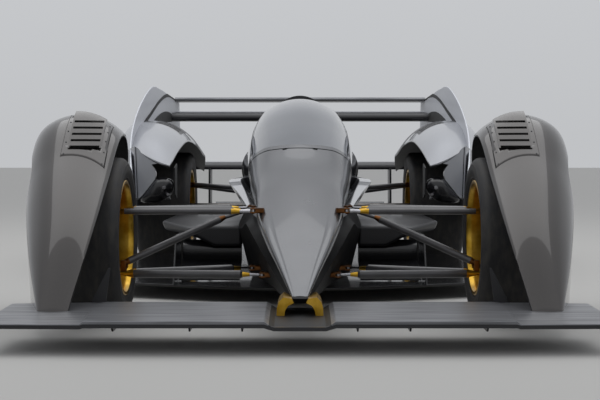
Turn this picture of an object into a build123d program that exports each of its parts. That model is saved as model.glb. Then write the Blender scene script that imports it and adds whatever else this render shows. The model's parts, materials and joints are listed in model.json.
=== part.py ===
from build123d import *
from math import atan2, cos, hypot, pi, radians, sin
import os

os.makedirs("parts", exist_ok=True)

# Frame: millimetres, +Z up, nose towards -Y, +X is the driver's left.
# The origin is on the ground under the middle of the car.

# Driving dimensions
FRONT_AXLE_Y = -1720
REAR_AXLE_Y = 1380
FRONT_TYRE_R = 335
REAR_TYRE_R = 355
FRONT_TYRE_WIDTH = 292
REAR_TYRE_WIDTH = 350
FRONT_WHEEL_X = 862
REAR_WHEEL_X = 880
RIM_R = 228
RIM_WALL = 10
KINGPIN_X = 790
RACK_Y = -1800
UPPER_ARM_Z = 448
LOWER_ARM_Z = 185
WING_FRONT_Y = -2750
WING_BACK_Y = -2300
TAIL_Y = 2750
GAP = 6


def station(y):
    """A plane across the car at y, with X to the right and Z up in it."""
    return Plane.XZ.offset(-y)


def rod(start, end, radius):
    """A round bar from start to end, added to the piece being built."""
    run = Vector(*end) - Vector(*start)
    with BuildSketch(Plane(origin=start, z_dir=run)) as ring:
        Circle(radius)
    extrude(ring.sketch, amount=run.length)


def tube(start, end, radius):
    """An eight-sided bar from start to end, for tubes that turn about nothing."""
    run = Vector(*end) - Vector(*start)
    with BuildSketch(Plane(origin=start, z_dir=run)) as ring:
        RegularPolygon(radius, 8)
    extrude(ring.sketch, amount=run.length)


def plate(x, width, outline):
    """A plate of a side outline of y and z, from x outwards, added to the piece being built."""
    with BuildSketch(Plane.YZ.offset(x)) as side:
        Polygon(*outline, align=None)
    extrude(side.sketch, amount=width)


def arc_points(start, middle, end, count):
    """Corners on the arc through three points, both ends among them, with count sides."""
    (ax, az), (bx, bz), (cx, cz) = start, middle, end
    scale = 2 * (ax * (bz - cz) + bx * (cz - az) + cx * (az - bz))
    a, b, c = (x * x + z * z for x, z in (start, middle, end))
    centre_x = (a * (bz - cz) + b * (cz - az) + c * (az - bz)) / scale
    centre_z = (a * (cx - bx) + b * (ax - cx) + c * (bx - ax)) / scale
    radius = hypot(ax - centre_x, az - centre_z)
    first, second, third = (atan2(z - centre_z, x - centre_x) for x, z in (start, middle, end))
    second = first + (second - first + pi) % (2 * pi) - pi
    third = second + (third - second + pi) % (2 * pi) - pi
    angles = [first + (third - first) * i / count for i in range(count + 1)]
    return [(centre_x + radius * cos(t), centre_z + radius * sin(t)) for t in angles]


def halved(rows):
    """An evenly spaced table with one more row in each span, on a smooth curve through its rows."""
    rows = [list(row) for row in rows]
    ends = [[2 * a - b for a, b in zip(rows[i], rows[k])] for i, k in ((0, 1), (-1, -2))]
    padded = [ends[0]] + rows + [ends[1]]
    fine = []
    for i, row in enumerate(rows[:-1]):
        fine.append(row)
        four = padded[i:i + 4]
        fine.append([(9 * (b + c) - a - d) / 16 for a, b, c, d in zip(*four)])
    return fine + [rows[-1]]


def faceted(stations, rings):
    """A closed solid of flat faces between rings of x and z at their stations, for the piece being built."""
    loops = [[(x, y, z) for x, z in ring] for y, ring in zip(stations, rings)]
    faces = [Face(Wire.make_polygon(loops[0])), Face(Wire.make_polygon(loops[-1]))]
    count = len(loops[0])
    for near, far in zip(loops, loops[1:]):
        for i in range(count):
            k = (i + 1) % count
            if near[i][0] + near[k][0] < 0:
                halves = [(near[i], near[k], far[i]), (near[k], far[k], far[i])]
            else:
                halves = [(near[i], near[k], far[k]), (near[i], far[k], far[i])]
            faces += [Face(Wire.make_polygon(half)) for half in halves]
    return Solid(Shell(faces))


def save(piece, name):
    """Labels a finished piece and writes it under its own name."""
    piece.part.label = name
    export_step(piece.part, f"parts/{name}.step")


# Hull and canopy: one form, cut along its parting line and the canopy's seam
# columns: y, keel x z, waist x z, groove x z, side x z, crease x z, top z
HULL = [
    (-2480, 20, 146, 26, 154, 24, 160, 29, 166, 20, 171, 173),
    (-2230, 46, 136, 74, 190, 62, 232, 79, 258, 54, 262, 268),
    (-1980, 82, 130, 140, 272, 112, 305, 136, 335, 92, 355, 364),
    (-1730, 112, 130, 202, 352, 162, 370, 176, 400, 118, 444, 458),
    (-1480, 152, 128, 236, 380, 182, 420, 193, 466, 142, 526, 552),
    (-1230, 200, 126, 264, 350, 204, 450, 206, 540, 148, 610, 640),
    (-980, 238, 125, 290, 335, 222, 476, 226, 615, 155, 715, 746),
    (-730, 252, 125, 302, 342, 230, 495, 250, 662, 170, 806, 848),
    (-480, 258, 125, 308, 348, 235, 514, 268, 690, 182, 882, 938),
    (-230, 260, 125, 310, 350, 238, 520, 274, 700, 187, 918, 985),
    (20, 260, 125, 310, 350, 238, 520, 268, 700, 182, 912, 985),
]


def hull_ring(row, wall=0):
    """The corners of one cross-section of the hull, or of its inside where a wall is given."""
    y, keel_x, keel_z, waist_x, waist_z, groove_x, groove_z = row[:7]
    side_x, side_z, crease_x, crease_z, top = row[7:]
    crease = (crease_x - 0.7 * wall, crease_z - 0.7 * wall)
    flank = arc_points((groove_x - wall, groove_z), (side_x - wall, side_z), crease, 4)
    crown = arc_points(crease, (0, top - wall), (-crease[0], crease[1]), 8)
    right = [(keel_x - wall, keel_z + wall), (waist_x - wall, waist_z)] + flank
    return right + crown[1:-1] + [(-x, z) for x, z in reversed(right)]


def hull_solid(first_row, wall=0):
    """The hull from one row of its table to the back."""
    rows = HULL[first_row:]
    return faceted([row[0] for row in rows], [hull_ring(row, wall) for row in rows])


HULL_BACK_Y = HULL[-1][0]
COCKPIT_ROW = 4
COCKPIT_WALL = 22
CANOPY_WALL = 10

with BuildPart() as hull_form:
    add(hull_solid(0))

with BuildPart() as cockpit_space:
    add(hull_solid(COCKPIT_ROW, COCKPIT_WALL))

with BuildPart() as canopy_space:
    add(hull_solid(COCKPIT_ROW, CANOPY_WALL))

# Parting line between the silver upper body and the dark tub, in side view
PARTING = [(-2600, 125), (-2480, 163), (-2172, 267), (-2035, 310), (-1748, 386), (-1490, 450), (-1064, 490),
           (HULL_BACK_Y, 515)]
# The canopy's seam, in side view: from the hinge down to the sides, then level
SEAM = [(-1062, 716), (-640, 592), (-85, 560)]
CANOPY_TOP_Z = 1100
CANOPY_LEAN = 150


def canopy_region(lift, back):
    """The room over the seam, lifted from it and drawn in from the rear edge."""
    lifted = [(y, z + lift) for y, z in SEAM]
    lifted[-1] = (SEAM[-1][0] - back, SEAM[-1][1] + lift)
    with BuildPart() as region:
        with BuildSketch(Plane.YZ) as side:
            Polygon(
                (SEAM[0][0] - 60, SEAM[0][1] + lift),
                *lifted,
                (SEAM[-1][0] + CANOPY_LEAN - back, CANOPY_TOP_Z),
                (SEAM[0][0] - 60, CANOPY_TOP_Z),
                align=None,
            )
        extrude(side.sketch, amount=400, both=True)
    return region.part


FRAME_BAND = 26
above_seam = canopy_region(0, 0)
canopy_cutter = canopy_region(GAP, GAP)
glass_cutter = canopy_region(GAP + FRAME_BAND, GAP + FRAME_BAND)

with BuildPart() as above_parting:
    with BuildSketch(Plane.YZ):
        Polygon(*PARTING, (HULL_BACK_Y, 1200), (-2600, 1200), align=None)
    extrude(amount=400, both=True)

BULKHEAD_Y = -1350
SEAT_BACK_Y = -90
COCKPIT_FLOOR_Z = 165
with BuildPart() as cockpit_limits:
    with BuildSketch(Plane.YZ):
        Polygon(
            (BULKHEAD_Y, COCKPIT_FLOOR_Z),
            (SEAT_BACK_Y - 60, COCKPIT_FLOOR_Z),
            (SEAT_BACK_Y, 700),
            (SEAT_BACK_Y, CANOPY_TOP_Z),
            (BULKHEAD_Y, CANOPY_TOP_Z),
            align=None,
        )
    extrude(amount=400, both=True)

with BuildPart() as cockpit_cavity:
    add(cockpit_space.part)
    add(cockpit_limits.part, mode=Mode.INTERSECT)

# The canopy's hinge hides in the nose: lugs under the shell, and goosenecks that leave by the seam
HINGE_Y = -1130
HINGE_Z = 625
HINGE_PIN_R = 8
HINGE_BOSS_R = 15
LUG_X = 50
LUG_THICK = 12
NECK_X = 66
NECK_THICK = 10
LUG = [(-15, 0), (15, 0), (15, 46), (-15, 34)]
NECK = [(0, -15), (114, -64), (156, -36), (158, 22), (120, 97), (104, 91), (130, 15), (112, -42), (0, 12)]


def from_hinge(corners):
    """Corners given from the hinge's pin, as y and z of the car."""
    return [(HINGE_Y + y, HINGE_Z + z) for y, z in corners]


with BuildPart() as body_shell:
    add(hull_form.part)
    add(above_parting.part, mode=Mode.INTERSECT)
    add(above_seam, mode=Mode.SUBTRACT)
    add(cockpit_cavity.part, mode=Mode.SUBTRACT)
    for side in (LUG_X, -LUG_X - LUG_THICK):
        plate(side, LUG_THICK, from_hinge(LUG))
        rod((side, HINGE_Y, HINGE_Z), (side + LUG_THICK, HINGE_Y, HINGE_Z), HINGE_BOSS_R)
    with BuildSketch(Plane.YZ):
        with Locations((HINGE_Y, HINGE_Z)):
            Circle(HINGE_PIN_R + 0.5)
    extrude(amount=LUG_X + LUG_THICK + 1, both=True, mode=Mode.SUBTRACT)
    with BuildSketch(Plane.XY.offset(670)):
        for x in (NECK_X + NECK_THICK / 2, -NECK_X - NECK_THICK / 2):
            with Locations((x, HINGE_Y + 109)):
                Rectangle(NECK_THICK + 2 * GAP, 70)
    extrude(amount=60, mode=Mode.SUBTRACT)
save(body_shell, "body_shell")

with BuildPart() as monocoque:
    add(hull_form.part)
    add(above_parting.part, mode=Mode.SUBTRACT)
    add(cockpit_cavity.part, mode=Mode.SUBTRACT)
save(monocoque, "monocoque")

with BuildPart() as canopy_shell:
    add(hull_form.part)
    add(canopy_cutter, mode=Mode.INTERSECT)
    add(canopy_space.part, mode=Mode.SUBTRACT)

with BuildPart() as canopy_glass:
    add(canopy_shell.part)
    add(glass_cutter, mode=Mode.INTERSECT)
save(canopy_glass, "canopy_glass")

with BuildPart() as canopy_frame:
    add(canopy_shell.part)
    add(glass_cutter, mode=Mode.SUBTRACT)
    for side in (NECK_X, -NECK_X - NECK_THICK):
        plate(side, NECK_THICK, from_hinge(NECK))
        rod((side, HINGE_Y, HINGE_Z), (side + NECK_THICK, HINGE_Y, HINGE_Z), HINGE_BOSS_R)
    for side in (1, -1):
        rod((side * (LUG_X - 4), HINGE_Y, HINGE_Z), (side * NECK_X, HINGE_Y, HINGE_Z), HINGE_PIN_R)
save(canopy_frame, "canopy_frame")

# Shoulders: silver ramps beside the cockpit, from the front suspension back
# columns: y, outer x z, inner x z, valley x z, root x z, under x z
SHOULDER = [
    (-1560, 212, 432, 206, 436, 188, 440, 150, 430, 180, 405),
    (-900, 300, 500, 262, 505, 225, 470, 180, 440, 262, 440),
    (-300, 379, 548, 313, 553, 256, 484, 180, 440, 300, 420),
    (200, 350, 560, 310, 566, 262, 500, 180, 440, 290, 430),
]


def pairs(numbers):
    """Splits a flat row of numbers into points."""
    return [(numbers[i], numbers[i + 1]) for i in range(0, len(numbers), 2)]


with BuildPart() as cockpit_shoulders:
    add(faceted([row[0] for row in SHOULDER], [pairs(row[1:]) for row in SHOULDER]))
    add(hull_form.part, mode=Mode.SUBTRACT)
    mirror(about=Plane.YZ)

# Engine cover with the roll hoop and its intake behind the canopy
# columns: y, foot x z, side x z, crease x z, top z
COVER = [
    (40, 250, 432, 262, 700, 178, 900, 965),
    (680, 228, 396, 225, 600, 130, 745, 785),
    (1320, 165, 348, 150, 455, 80, 555, 578),
    (1960, 90, 336, 80, 390, 45, 430, 440),
]


def cover_ring(row):
    """The corners of one cross-section of the engine cover."""
    y, foot_x, foot_z, side_x, side_z, crease_x, crease_z, top = row
    flank = arc_points((foot_x, foot_z), (side_x, side_z), (crease_x, crease_z), 4)
    crown = arc_points(flank[-1], (0, top), (-crease_x, crease_z), 6)
    return flank + crown[1:-1] + [(-x, z) for x, z in reversed(flank)]


MOUTH_DEPTH = 150
MOUTH_Z = 880
MOUTH_HALF_WIDTH = 110
MOUTH_HALF_HEIGHT = 60
MOUTH_SIDES = 16
mouth_turns = [2 * pi * (i + 0.5) / MOUTH_SIDES for i in range(MOUTH_SIDES)]
MOUTH = [(MOUTH_HALF_WIDTH * cos(t), MOUTH_Z + MOUTH_HALF_HEIGHT * sin(t)) for t in mouth_turns]
with BuildPart() as engine_cover:
    cover_rows = halved(COVER)
    add(faceted([row[0] for row in cover_rows], [cover_ring(row) for row in cover_rows]))
    with BuildSketch(station(COVER[0][0])):
        Polygon(*MOUTH, align=None)
    extrude(amount=-MOUTH_DEPTH, mode=Mode.SUBTRACT)
save(engine_cover, "engine_cover")

# The hoop stands round the intake's mouth, proud of the cover
HOOP_FRONT_Y = 30
HOOP_LENGTH = 70
HOOP_HALF = 150
HOOP_TOP = 1016
HOOP_SPRING_Z = 890
HOOP_FOOT_Z = 800
HOOP_WALL = 18
HOOP_SIDES = 10
with BuildPart() as roll_hoop:
    with BuildSketch(station(HOOP_FRONT_Y)):
        bow = arc_points((HOOP_HALF, HOOP_SPRING_Z), (0, HOOP_TOP), (-HOOP_HALF, HOOP_SPRING_Z), HOOP_SIDES)
        Polygon((HOOP_HALF, HOOP_FOOT_Z), *bow, (-HOOP_HALF, HOOP_FOOT_Z), align=None)
        inner_bow = arc_points(
            (HOOP_HALF - HOOP_WALL, HOOP_SPRING_Z), (0, HOOP_TOP - HOOP_WALL), (HOOP_WALL - HOOP_HALF, HOOP_SPRING_Z),
            HOOP_SIDES,
        )
        Polygon(
            (HOOP_HALF - HOOP_WALL, HOOP_FOOT_Z + HOOP_WALL), *inner_bow,
            (HOOP_WALL - HOOP_HALF, HOOP_FOOT_Z + HOOP_WALL), align=None, mode=Mode.SUBTRACT,
        )
    extrude(amount=-HOOP_LENGTH)
    add(engine_cover.part, mode=Mode.SUBTRACT)
save(roll_hoop, "roll_hoop")

with BuildPart() as shoulders_cut:
    add(cockpit_shoulders.part)
    add(engine_cover.part, mode=Mode.SUBTRACT)
save(shoulders_cut, "cockpit_shoulders")

# Ears beside the canopy's rear foot: leaves that swell and close again
# columns: y, foot x z, belly x z, side x z, brow x z, top x z, root x z
EARS = [
    (-150, 268, 540, 276, 560, 278, 590, 276, 620, 268, 640, 255, 590),
    (-20, 262, 486, 300, 530, 321, 600, 316, 650, 292, 700, 250, 600),
    (150, 245, 500, 292, 540, 312, 600, 300, 650, 268, 690, 225, 600),
    (420, 232, 480, 250, 520, 256, 560, 246, 600, 228, 630, 205, 560),
]
with BuildPart() as canopy_ears:
    add(faceted([row[0] for row in EARS], [pairs(row[1:]) for row in EARS]))
    add(hull_form.part, mode=Mode.SUBTRACT)
    add(engine_cover.part, mode=Mode.SUBTRACT)
    add(shoulders_cut.part, mode=Mode.SUBTRACT)
    mirror(about=Plane.YZ)
save(canopy_ears, "canopy_ears")

# Engine and gearbox as plain masses
with BuildPart() as engine_block:
    with BuildSketch(Plane.XY.offset(130)):
        with Locations((0, (HULL_BACK_Y + 690) / 2)):
            Rectangle(440, 690 - HULL_BACK_Y)
    extrude(amount=255)
save(engine_block, "engine_block")

GEARBOX_FRONT_Y = 694
GEARBOX_BACK_Y = 2000
GEARBOX_Z = 256
GEARBOX_WIDTH = 260
GEARBOX_HEIGHT = 144
CRASH_BOX_BACK_Y = 2480
JACK_Z = 400
JACK_R = 15
JACK_LENGTH = 90
with BuildPart() as gearbox:
    with BuildSketch(station(GEARBOX_FRONT_Y)):
        with Locations((0, GEARBOX_Z)):
            Rectangle(GEARBOX_WIDTH, GEARBOX_HEIGHT)
    extrude(amount=GEARBOX_FRONT_Y - GEARBOX_BACK_Y)
    plate(-55, 110, [
        (GEARBOX_BACK_Y - 60, GEARBOX_Z), (GEARBOX_BACK_Y, GEARBOX_Z), (CRASH_BOX_BACK_Y, JACK_Z - 35),
        (CRASH_BOX_BACK_Y, JACK_Z + 35), (GEARBOX_BACK_Y - 40, JACK_Z + 30),
    ])
    add(engine_cover.part, mode=Mode.SUBTRACT)
    rod((0, CRASH_BOX_BACK_Y, JACK_Z), (0, CRASH_BOX_BACK_Y + JACK_LENGTH, JACK_Z), JACK_R)
save(gearbox, "gearbox")

# Seat and headrest in the cockpit
with BuildPart() as seat:
    with BuildSketch(Plane.YZ):
        Polygon(
            (-760, 172), (-330, 172), (-170, 640), (-215, 650), (-380, 235), (-740, 225), align=None
        )
    extrude(amount=150, both=True)
save(seat, "seat")

with BuildPart() as headrest:
    with BuildSketch(Plane.XZ.offset(170)):
        Polygon(
            (-105, 710), (-60, 665), (60, 665), (105, 710), (105, 810), (60, 855), (-60, 855), (-105, 810), align=None,
        )
    extrude(amount=60)
save(headrest, "headrest")

# Front wing: ruled between chord sections, stepped along the span
# columns: x, front y, lip bottom, lip top, back top
WING = [
    (0, WING_FRONT_Y, 84, 94, 126),
    (88, WING_FRONT_Y, 84, 94, 126),
    (122, WING_FRONT_Y, 94, 116, 132),
    (732, WING_FRONT_Y, 94, 116, 132),
    (744, -2746, 90, 106, 130),
    (1062, -2735, 90, 106, 130),
]


def wing_chord(row):
    """One chord section of the front wing."""
    x, front, low, high, back = row
    with BuildSketch(Plane.YZ.offset(x)) as section:
        Polygon(
            (front, low),
            (front, high),
            (front + 180, back - 4),
            (WING_BACK_Y - (x > 1000) * 40, back),
            (WING_BACK_Y - (x > 1000) * 40, back - 9),
            (front + 190, low + 6),
            align=None,
        )
    return section.sketch


with BuildPart() as front_wing:
    loft(sections=[wing_chord(row) for row in WING], ruled=True)
    mirror(about=Plane.YZ)
save(front_wing, "front_wing")

# columns: x, front y, back y, depth
STRAKES = [(202, -2640, -2300, 60), (386, -2640, -2300, 60), (655, -2640, -2300, 60), (985, -2600, -2475, 55)]
with BuildPart() as wing_strakes:
    for x, front, back, depth in STRAKES:
        with BuildSketch(Plane.YZ.offset(x - 3)):
            Polygon((front, 100), (front + 50, 120 - depth), (back, 120 - depth), (back, 120), align=None)
        extrude(amount=6)
    with BuildSketch(station(-2306)):
        Polygon((722, 125), (779, 125), (712, 258), (704, 258), align=None)
    extrude(amount=-5)
    add(front_wing.part, mode=Mode.SUBTRACT)
    mirror(about=Plane.YZ)
save(wing_strakes, "wing_strakes")

# Horn-shaped pylons under the nose's tip
with BuildPart() as nose_pylons:
    with BuildSketch(station(-2480)):
        with BuildLine():
            Line((30, 150), (46, 168))
            ThreePointArc((46, 168), (76, 140), (80, 118))
            Line((80, 118), (58, 118))
            ThreePointArc((58, 118), (50, 138), (30, 150))
        make_face()
    extrude(amount=-170)
    add(hull_form.part, mode=Mode.SUBTRACT)
    add(front_wing.part, mode=Mode.SUBTRACT)
    mirror(about=Plane.YZ)
save(nose_pylons, "nose_pylons")

# Front fenders: open towards the hull, with a side arch over the wheel
# columns: y, bottom z, inner x z, crown x z, shoulder x z, outer x z, outer foot x
FENDER = [
    (-2570, 104, 822, 110, 872, 118, 912, 114, 921, 110, 919),
    (-2292, 104, 776, 385, 890, 420, 965, 395, 1012, 300, 1000),
    (-2014, 108, 756, 585, 890, 655, 1020, 620, 1076, 480, 1060),
    (-1736, 150, 744, 762, 890, 842, 1045, 805, 1100, 705, 1086),
    (-1458, 160, 752, 715, 890, 780, 1035, 740, 1095, 640, 1080),
    (-1180, 190, 800, 430, 900, 480, 1000, 455, 1060, 390, 1050),
]


ROUNDING = 0.12


def rounded(start, end):
    """The middle of a shallow arc from start to end, swelling to the left of the way there."""
    run_x, run_z = end[0] - start[0], end[1] - start[1]
    return ((start[0] + end[0]) / 2 - ROUNDING * run_z, (start[1] + end[1]) / 2 + ROUNDING * run_x)


def fender_ring(row, wall=0):
    """The corners of one cross-section of a fender or pod, or of the room inside it."""
    y, low, inner_x, inner_z, crown_x, crown_z, shoulder_x, shoulder_z, outer_x, outer_z, foot_x = row
    reach = 60 if wall else 0
    shoulder = (shoulder_x - 0.7 * wall, shoulder_z - 0.7 * wall)
    edge = (outer_x - wall, outer_z)
    start = [(inner_x - reach, low - reach)]
    if wall:
        start.append((inner_x - reach, inner_z - wall))
    crown = arc_points((inner_x, inner_z - wall), (crown_x, crown_z - wall), shoulder, 5)
    flank = arc_points(shoulder, rounded(shoulder, edge), edge, 2)
    return start + crown + flank[1:] + [(foot_x - wall, low - reach)]


def fender_solid(table, wall=0, front=0, back=0):
    """A fender or pod, or the room inside it, which reaches past its front and back where that is given."""
    rows = halved(table)
    stations = [row[0] for row in rows]
    stations[0] -= front
    stations[-1] += back
    return faceted(stations, [fender_ring(row, wall) for row in rows])


def side_arch(axle_y, axle_z, radius, inner_x):
    """A round cut through the outer wall, open downwards."""
    with BuildSketch(Plane.YZ.offset(inner_x)) as arch:
        with Locations((axle_y, axle_z)):
            Circle(radius)
        with Locations((axle_y, axle_z - 200)):
            Rectangle(2 * radius, 400)
    extrude(arch.sketch, amount=200, mode=Mode.SUBTRACT)


FENDER_WALL = 14
with BuildPart() as fender_shell:
    add(fender_solid(FENDER))
    add(fender_solid(FENDER, FENDER_WALL, 1, 1), mode=Mode.SUBTRACT)
    side_arch(FRONT_AXLE_Y, FRONT_TYRE_R, 362, 1000)
    add(front_wing.part, mode=Mode.SUBTRACT)

# Louvres in the fender's crown: slats across a window, each leaning back over the next
LOUVRE_FRONT_Y = -1975
LOUVRE_PITCH = 32
LOUVRES = 7
LOUVRE_INNER_X = 790
LOUVRE_WIDTH = 180
SLAT_FRONT = 13
SLAT_LEAN = 60
louvre_back_y = LOUVRE_FRONT_Y + LOUVRES * LOUVRE_PITCH
with BuildPart() as louvre_window:
    with BuildSketch(Plane.XY.offset(400)):
        with Locations((LOUVRE_INNER_X + LOUVRE_WIDTH / 2, (LOUVRE_FRONT_Y + louvre_back_y) / 2)):
            Rectangle(LOUVRE_WIDTH, louvre_back_y - LOUVRE_FRONT_Y)
    extrude(amount=600)

with BuildPart() as slats:
    for number in range(LOUVRES):
        front = LOUVRE_FRONT_Y + 6 + number * LOUVRE_PITCH
        plate(LOUVRE_INNER_X, LOUVRE_WIDTH, [
            (front, 560), (front + SLAT_FRONT, 560), (front + SLAT_FRONT + SLAT_LEAN, 960), (front + SLAT_LEAN, 960),
        ])

with BuildPart() as fender_louvres:
    add(fender_shell.part)
    add(louvre_window.part, mode=Mode.INTERSECT)
    add(slats.part, mode=Mode.INTERSECT)
    mirror(about=Plane.YZ)
save(fender_louvres, "fender_louvres")

with BuildPart() as front_fenders:
    add(fender_shell.part)
    add(louvre_window.part, mode=Mode.SUBTRACT)
    mirror(about=Plane.YZ)
save(front_fenders, "front_fenders")

# Rear pods over the rear wheels, the same way
# columns as the front fenders
POD = [
    (0, 450, 722, 629, 790, 655, 860, 648, 905, 600, 895),
    (350, 330, 703, 725, 820, 808, 985, 782, 1045, 690, 1035),
    (700, 230, 684, 780, 850, 885, 1012, 874, 1086, 770, 1076),
    (1050, 205, 660, 760, 825, 888, 1015, 905, 1096, 800, 1088),
    (1400, 200, 646, 705, 795, 868, 1015, 912, 1098, 800, 1090),
    (1750, 230, 655, 680, 800, 800, 1000, 840, 1085, 740, 1076),
    (2100, 420, 690, 590, 820, 650, 960, 655, 1030, 580, 1020),
]
POD_WALL = 16
POD_MOUTH = [(722, 440), (722, 625), (786, 640), (822, 634), (797, 593), (807, 551), (890, 440)]
POD_SLOTS = 5
SLOT_FRONT_Y = 690
SLOT_PITCH = 62
SLOT_WIDTH = 24
with BuildPart() as pod_form:
    add(fender_solid(POD))
with BuildPart() as rear_pods:
    add(pod_form.part)
    add(fender_solid(POD, POD_WALL, -POD_WALL, 1), mode=Mode.SUBTRACT)
    side_arch(REAR_AXLE_Y, REAR_TYRE_R, 385, 1000)
    with BuildSketch(station(2 * POD_WALL)) as mouth:
        Polygon(*POD_MOUTH, align=None)
    extrude(mouth.sketch, amount=3 * POD_WALL, mode=Mode.SUBTRACT)
    for number in range(POD_SLOTS):
        front = SLOT_FRONT_Y + number * SLOT_PITCH
        with BuildSketch(Plane.XY.offset(700)) as slot:
            with Locations((788, front)):
                Rectangle(176, SLOT_WIDTH)
        extrude(slot.sketch, amount=300, mode=Mode.SUBTRACT)
    mirror(about=Plane.YZ)
save(rear_pods, "rear_pods")

# Leaf-shaped fins that carry the rear wing
# columns: y, low x z, high x z
FIN = [
    (-300, 872, 436, 880, 452),
    (130, 925, 470, 949, 750),
    (560, 945, 560, 963, 955),
    (990, 922, 700, 936, 1115),
    (1420, 916, 780, 927, 1130),
    (1850, 914, 620, 926, 1121),
    (2280, 914, 540, 926, 1112),
    (2710, 914, 640, 926, 1102),
]
FIN_THICK = 20


def fin_ring(row):
    """The corners of one upright cross-section of a fin, tapered towards its top."""
    y, low_x, low_z, high_x, high_z = row
    return [(low_x, low_z), (low_x + FIN_THICK, low_z), (high_x + FIN_THICK / 2, high_z), (high_x, high_z)]


with BuildPart() as fin_blank:
    fin_rows = halved(FIN)
    add(faceted([row[0] for row in fin_rows], [fin_ring(row) for row in fin_rows]))
with BuildPart() as rear_fins:
    add(fin_blank.part)
    with BuildSketch(Plane.YZ.offset(860)):
        with Locations((REAR_AXLE_Y, REAR_TYRE_R)):
            Circle(400)
    extrude(amount=150, mode=Mode.SUBTRACT)
    add(pod_form.part, mode=Mode.SUBTRACT)
    mirror(about=Plane.YZ)
save(rear_fins, "rear_fins")

# Floor, side decks and the strakes of the diffuser
FLOOR_Z = 60
FLOOR_THICK = 14
DIFFUSER_FRONT_Y = 1700
DIFFUSER_BACK_Y = 2600
DIFFUSER_TOP_Z = 330
DIFFUSER_HALF = 640
FENCE_X = 590
FENCE_THICK = 8
STRAKE_XS = (150, 300, 450, 600)
with BuildPart() as floor:
    with BuildSketch(Plane.XY.offset(FLOOR_Z)):
        Polygon(
            (0, -1250), (300, -1180), (980, -900), (1010, -600), (1010, 900), (DIFFUSER_HALF, 960),
            (DIFFUSER_HALF, DIFFUSER_FRONT_Y), (0, DIFFUSER_FRONT_Y), align=None,
        )
    extrude(amount=FLOOR_THICK)
    plate(0, DIFFUSER_HALF, [
        (DIFFUSER_FRONT_Y, FLOOR_Z), (DIFFUSER_BACK_Y, DIFFUSER_TOP_Z),
        (DIFFUSER_BACK_Y, DIFFUSER_TOP_Z + FLOOR_THICK), (DIFFUSER_FRONT_Y, FLOOR_Z + FLOOR_THICK),
    ])
    plate(FENCE_X, FENCE_THICK, [(-1080, 70), (-720, 70), (-720, 300), (-940, 300)])
    for x in STRAKE_XS:
        plate(x, FENCE_THICK, [(1760, 82), (2600, 140), (2600, 334)])
    mirror(about=Plane.YZ)
save(floor, "floor")

# Decks beside the hull, over the floor
# columns: y, root low, root top, crown x z, brow x z, chin x z, keel x
DECKS = [
    (-700, 230, 330, 480, 330, 560, 318, 545, 290, 430),
    (-460, 227, 356, 610, 356, 716, 345, 700, 300, 420),
    (780, 227, 356, 610, 356, 716, 345, 700, 300, 420),
]
DECK_ROOT_X = 290
with BuildPart() as side_decks:
    deck_rings = []
    for y, low, top, crown_x, crown_z, brow_x, brow_z, chin_x, chin_z, keel_x in DECKS:
        deck_rings.append([
            (DECK_ROOT_X, low), (DECK_ROOT_X, top), (crown_x, crown_z),
            (brow_x, brow_z), (chin_x, chin_z), (keel_x, low),
        ])
    add(faceted([row[0] for row in DECKS], deck_rings))
    add(hull_form.part, mode=Mode.SUBTRACT)
    add(rear_pods.part, mode=Mode.SUBTRACT)
    mirror(about=Plane.YZ)
save(side_decks, "side_decks")

# Rear wing: a main plane and a flap between the fins, and a beam wing below
WING_HALF = 910


# columns: front y, back y, front z, back z, thickness
ELEMENTS = [
    (2060, 2420, 950, 1010, 44),
    (2400, TAIL_Y, 1070, 1125, 26),
    (2110, 2380, 590, 640, 36),
]
TRAILING_EDGE = 5
with BuildPart() as rear_wing:
    for front_y, back_y, front_z, back_z, thick in ELEMENTS:
        crown_y = front_y + 0.4 * (back_y - front_y)
        crown_z = front_z + 0.25 * (back_z - front_z) + thick / 2
        with BuildSketch(Plane.YZ):
            with BuildLine():
                ThreePointArc((front_y, front_z), (crown_y, crown_z), (back_y, back_z))
                Line((back_y, back_z), (back_y, back_z - TRAILING_EDGE))
                ThreePointArc(
                    (back_y, back_z - TRAILING_EDGE),
                    (crown_y, crown_z - thick),
                    (front_y, front_z - TRAILING_EDGE),
                )
                Line((front_y, front_z - TRAILING_EDGE), (front_y, front_z))
            make_face()
        extrude(amount=WING_HALF, both=True)
save(rear_wing, "rear_wing")

with BuildPart() as rear_pylons:
    plate(642, 14, [(2020, 74), (2200, 74), (2260, 560), (2240, 900), (2140, 900), (2060, 560)])
    add(rear_wing.part, mode=Mode.SUBTRACT)
    add(floor.part, mode=Mode.SUBTRACT)
    mirror(about=Plane.YZ)
save(rear_pylons, "rear_pylons")

with BuildPart() as rear_light:
    with BuildSketch(station(CRASH_BOX_BACK_Y - 20)):
        with Locations((0, JACK_Z + 61)):
            Rectangle(110, 52)
    extrude(amount=-24)
save(rear_light, "rear_light")

# Front suspension: upper and lower arms with eyes on the kingpin, and pushrods
EYE_R = 20
EYE_THICK = 16
PIN_R = 8
ARM_R = 17


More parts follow.
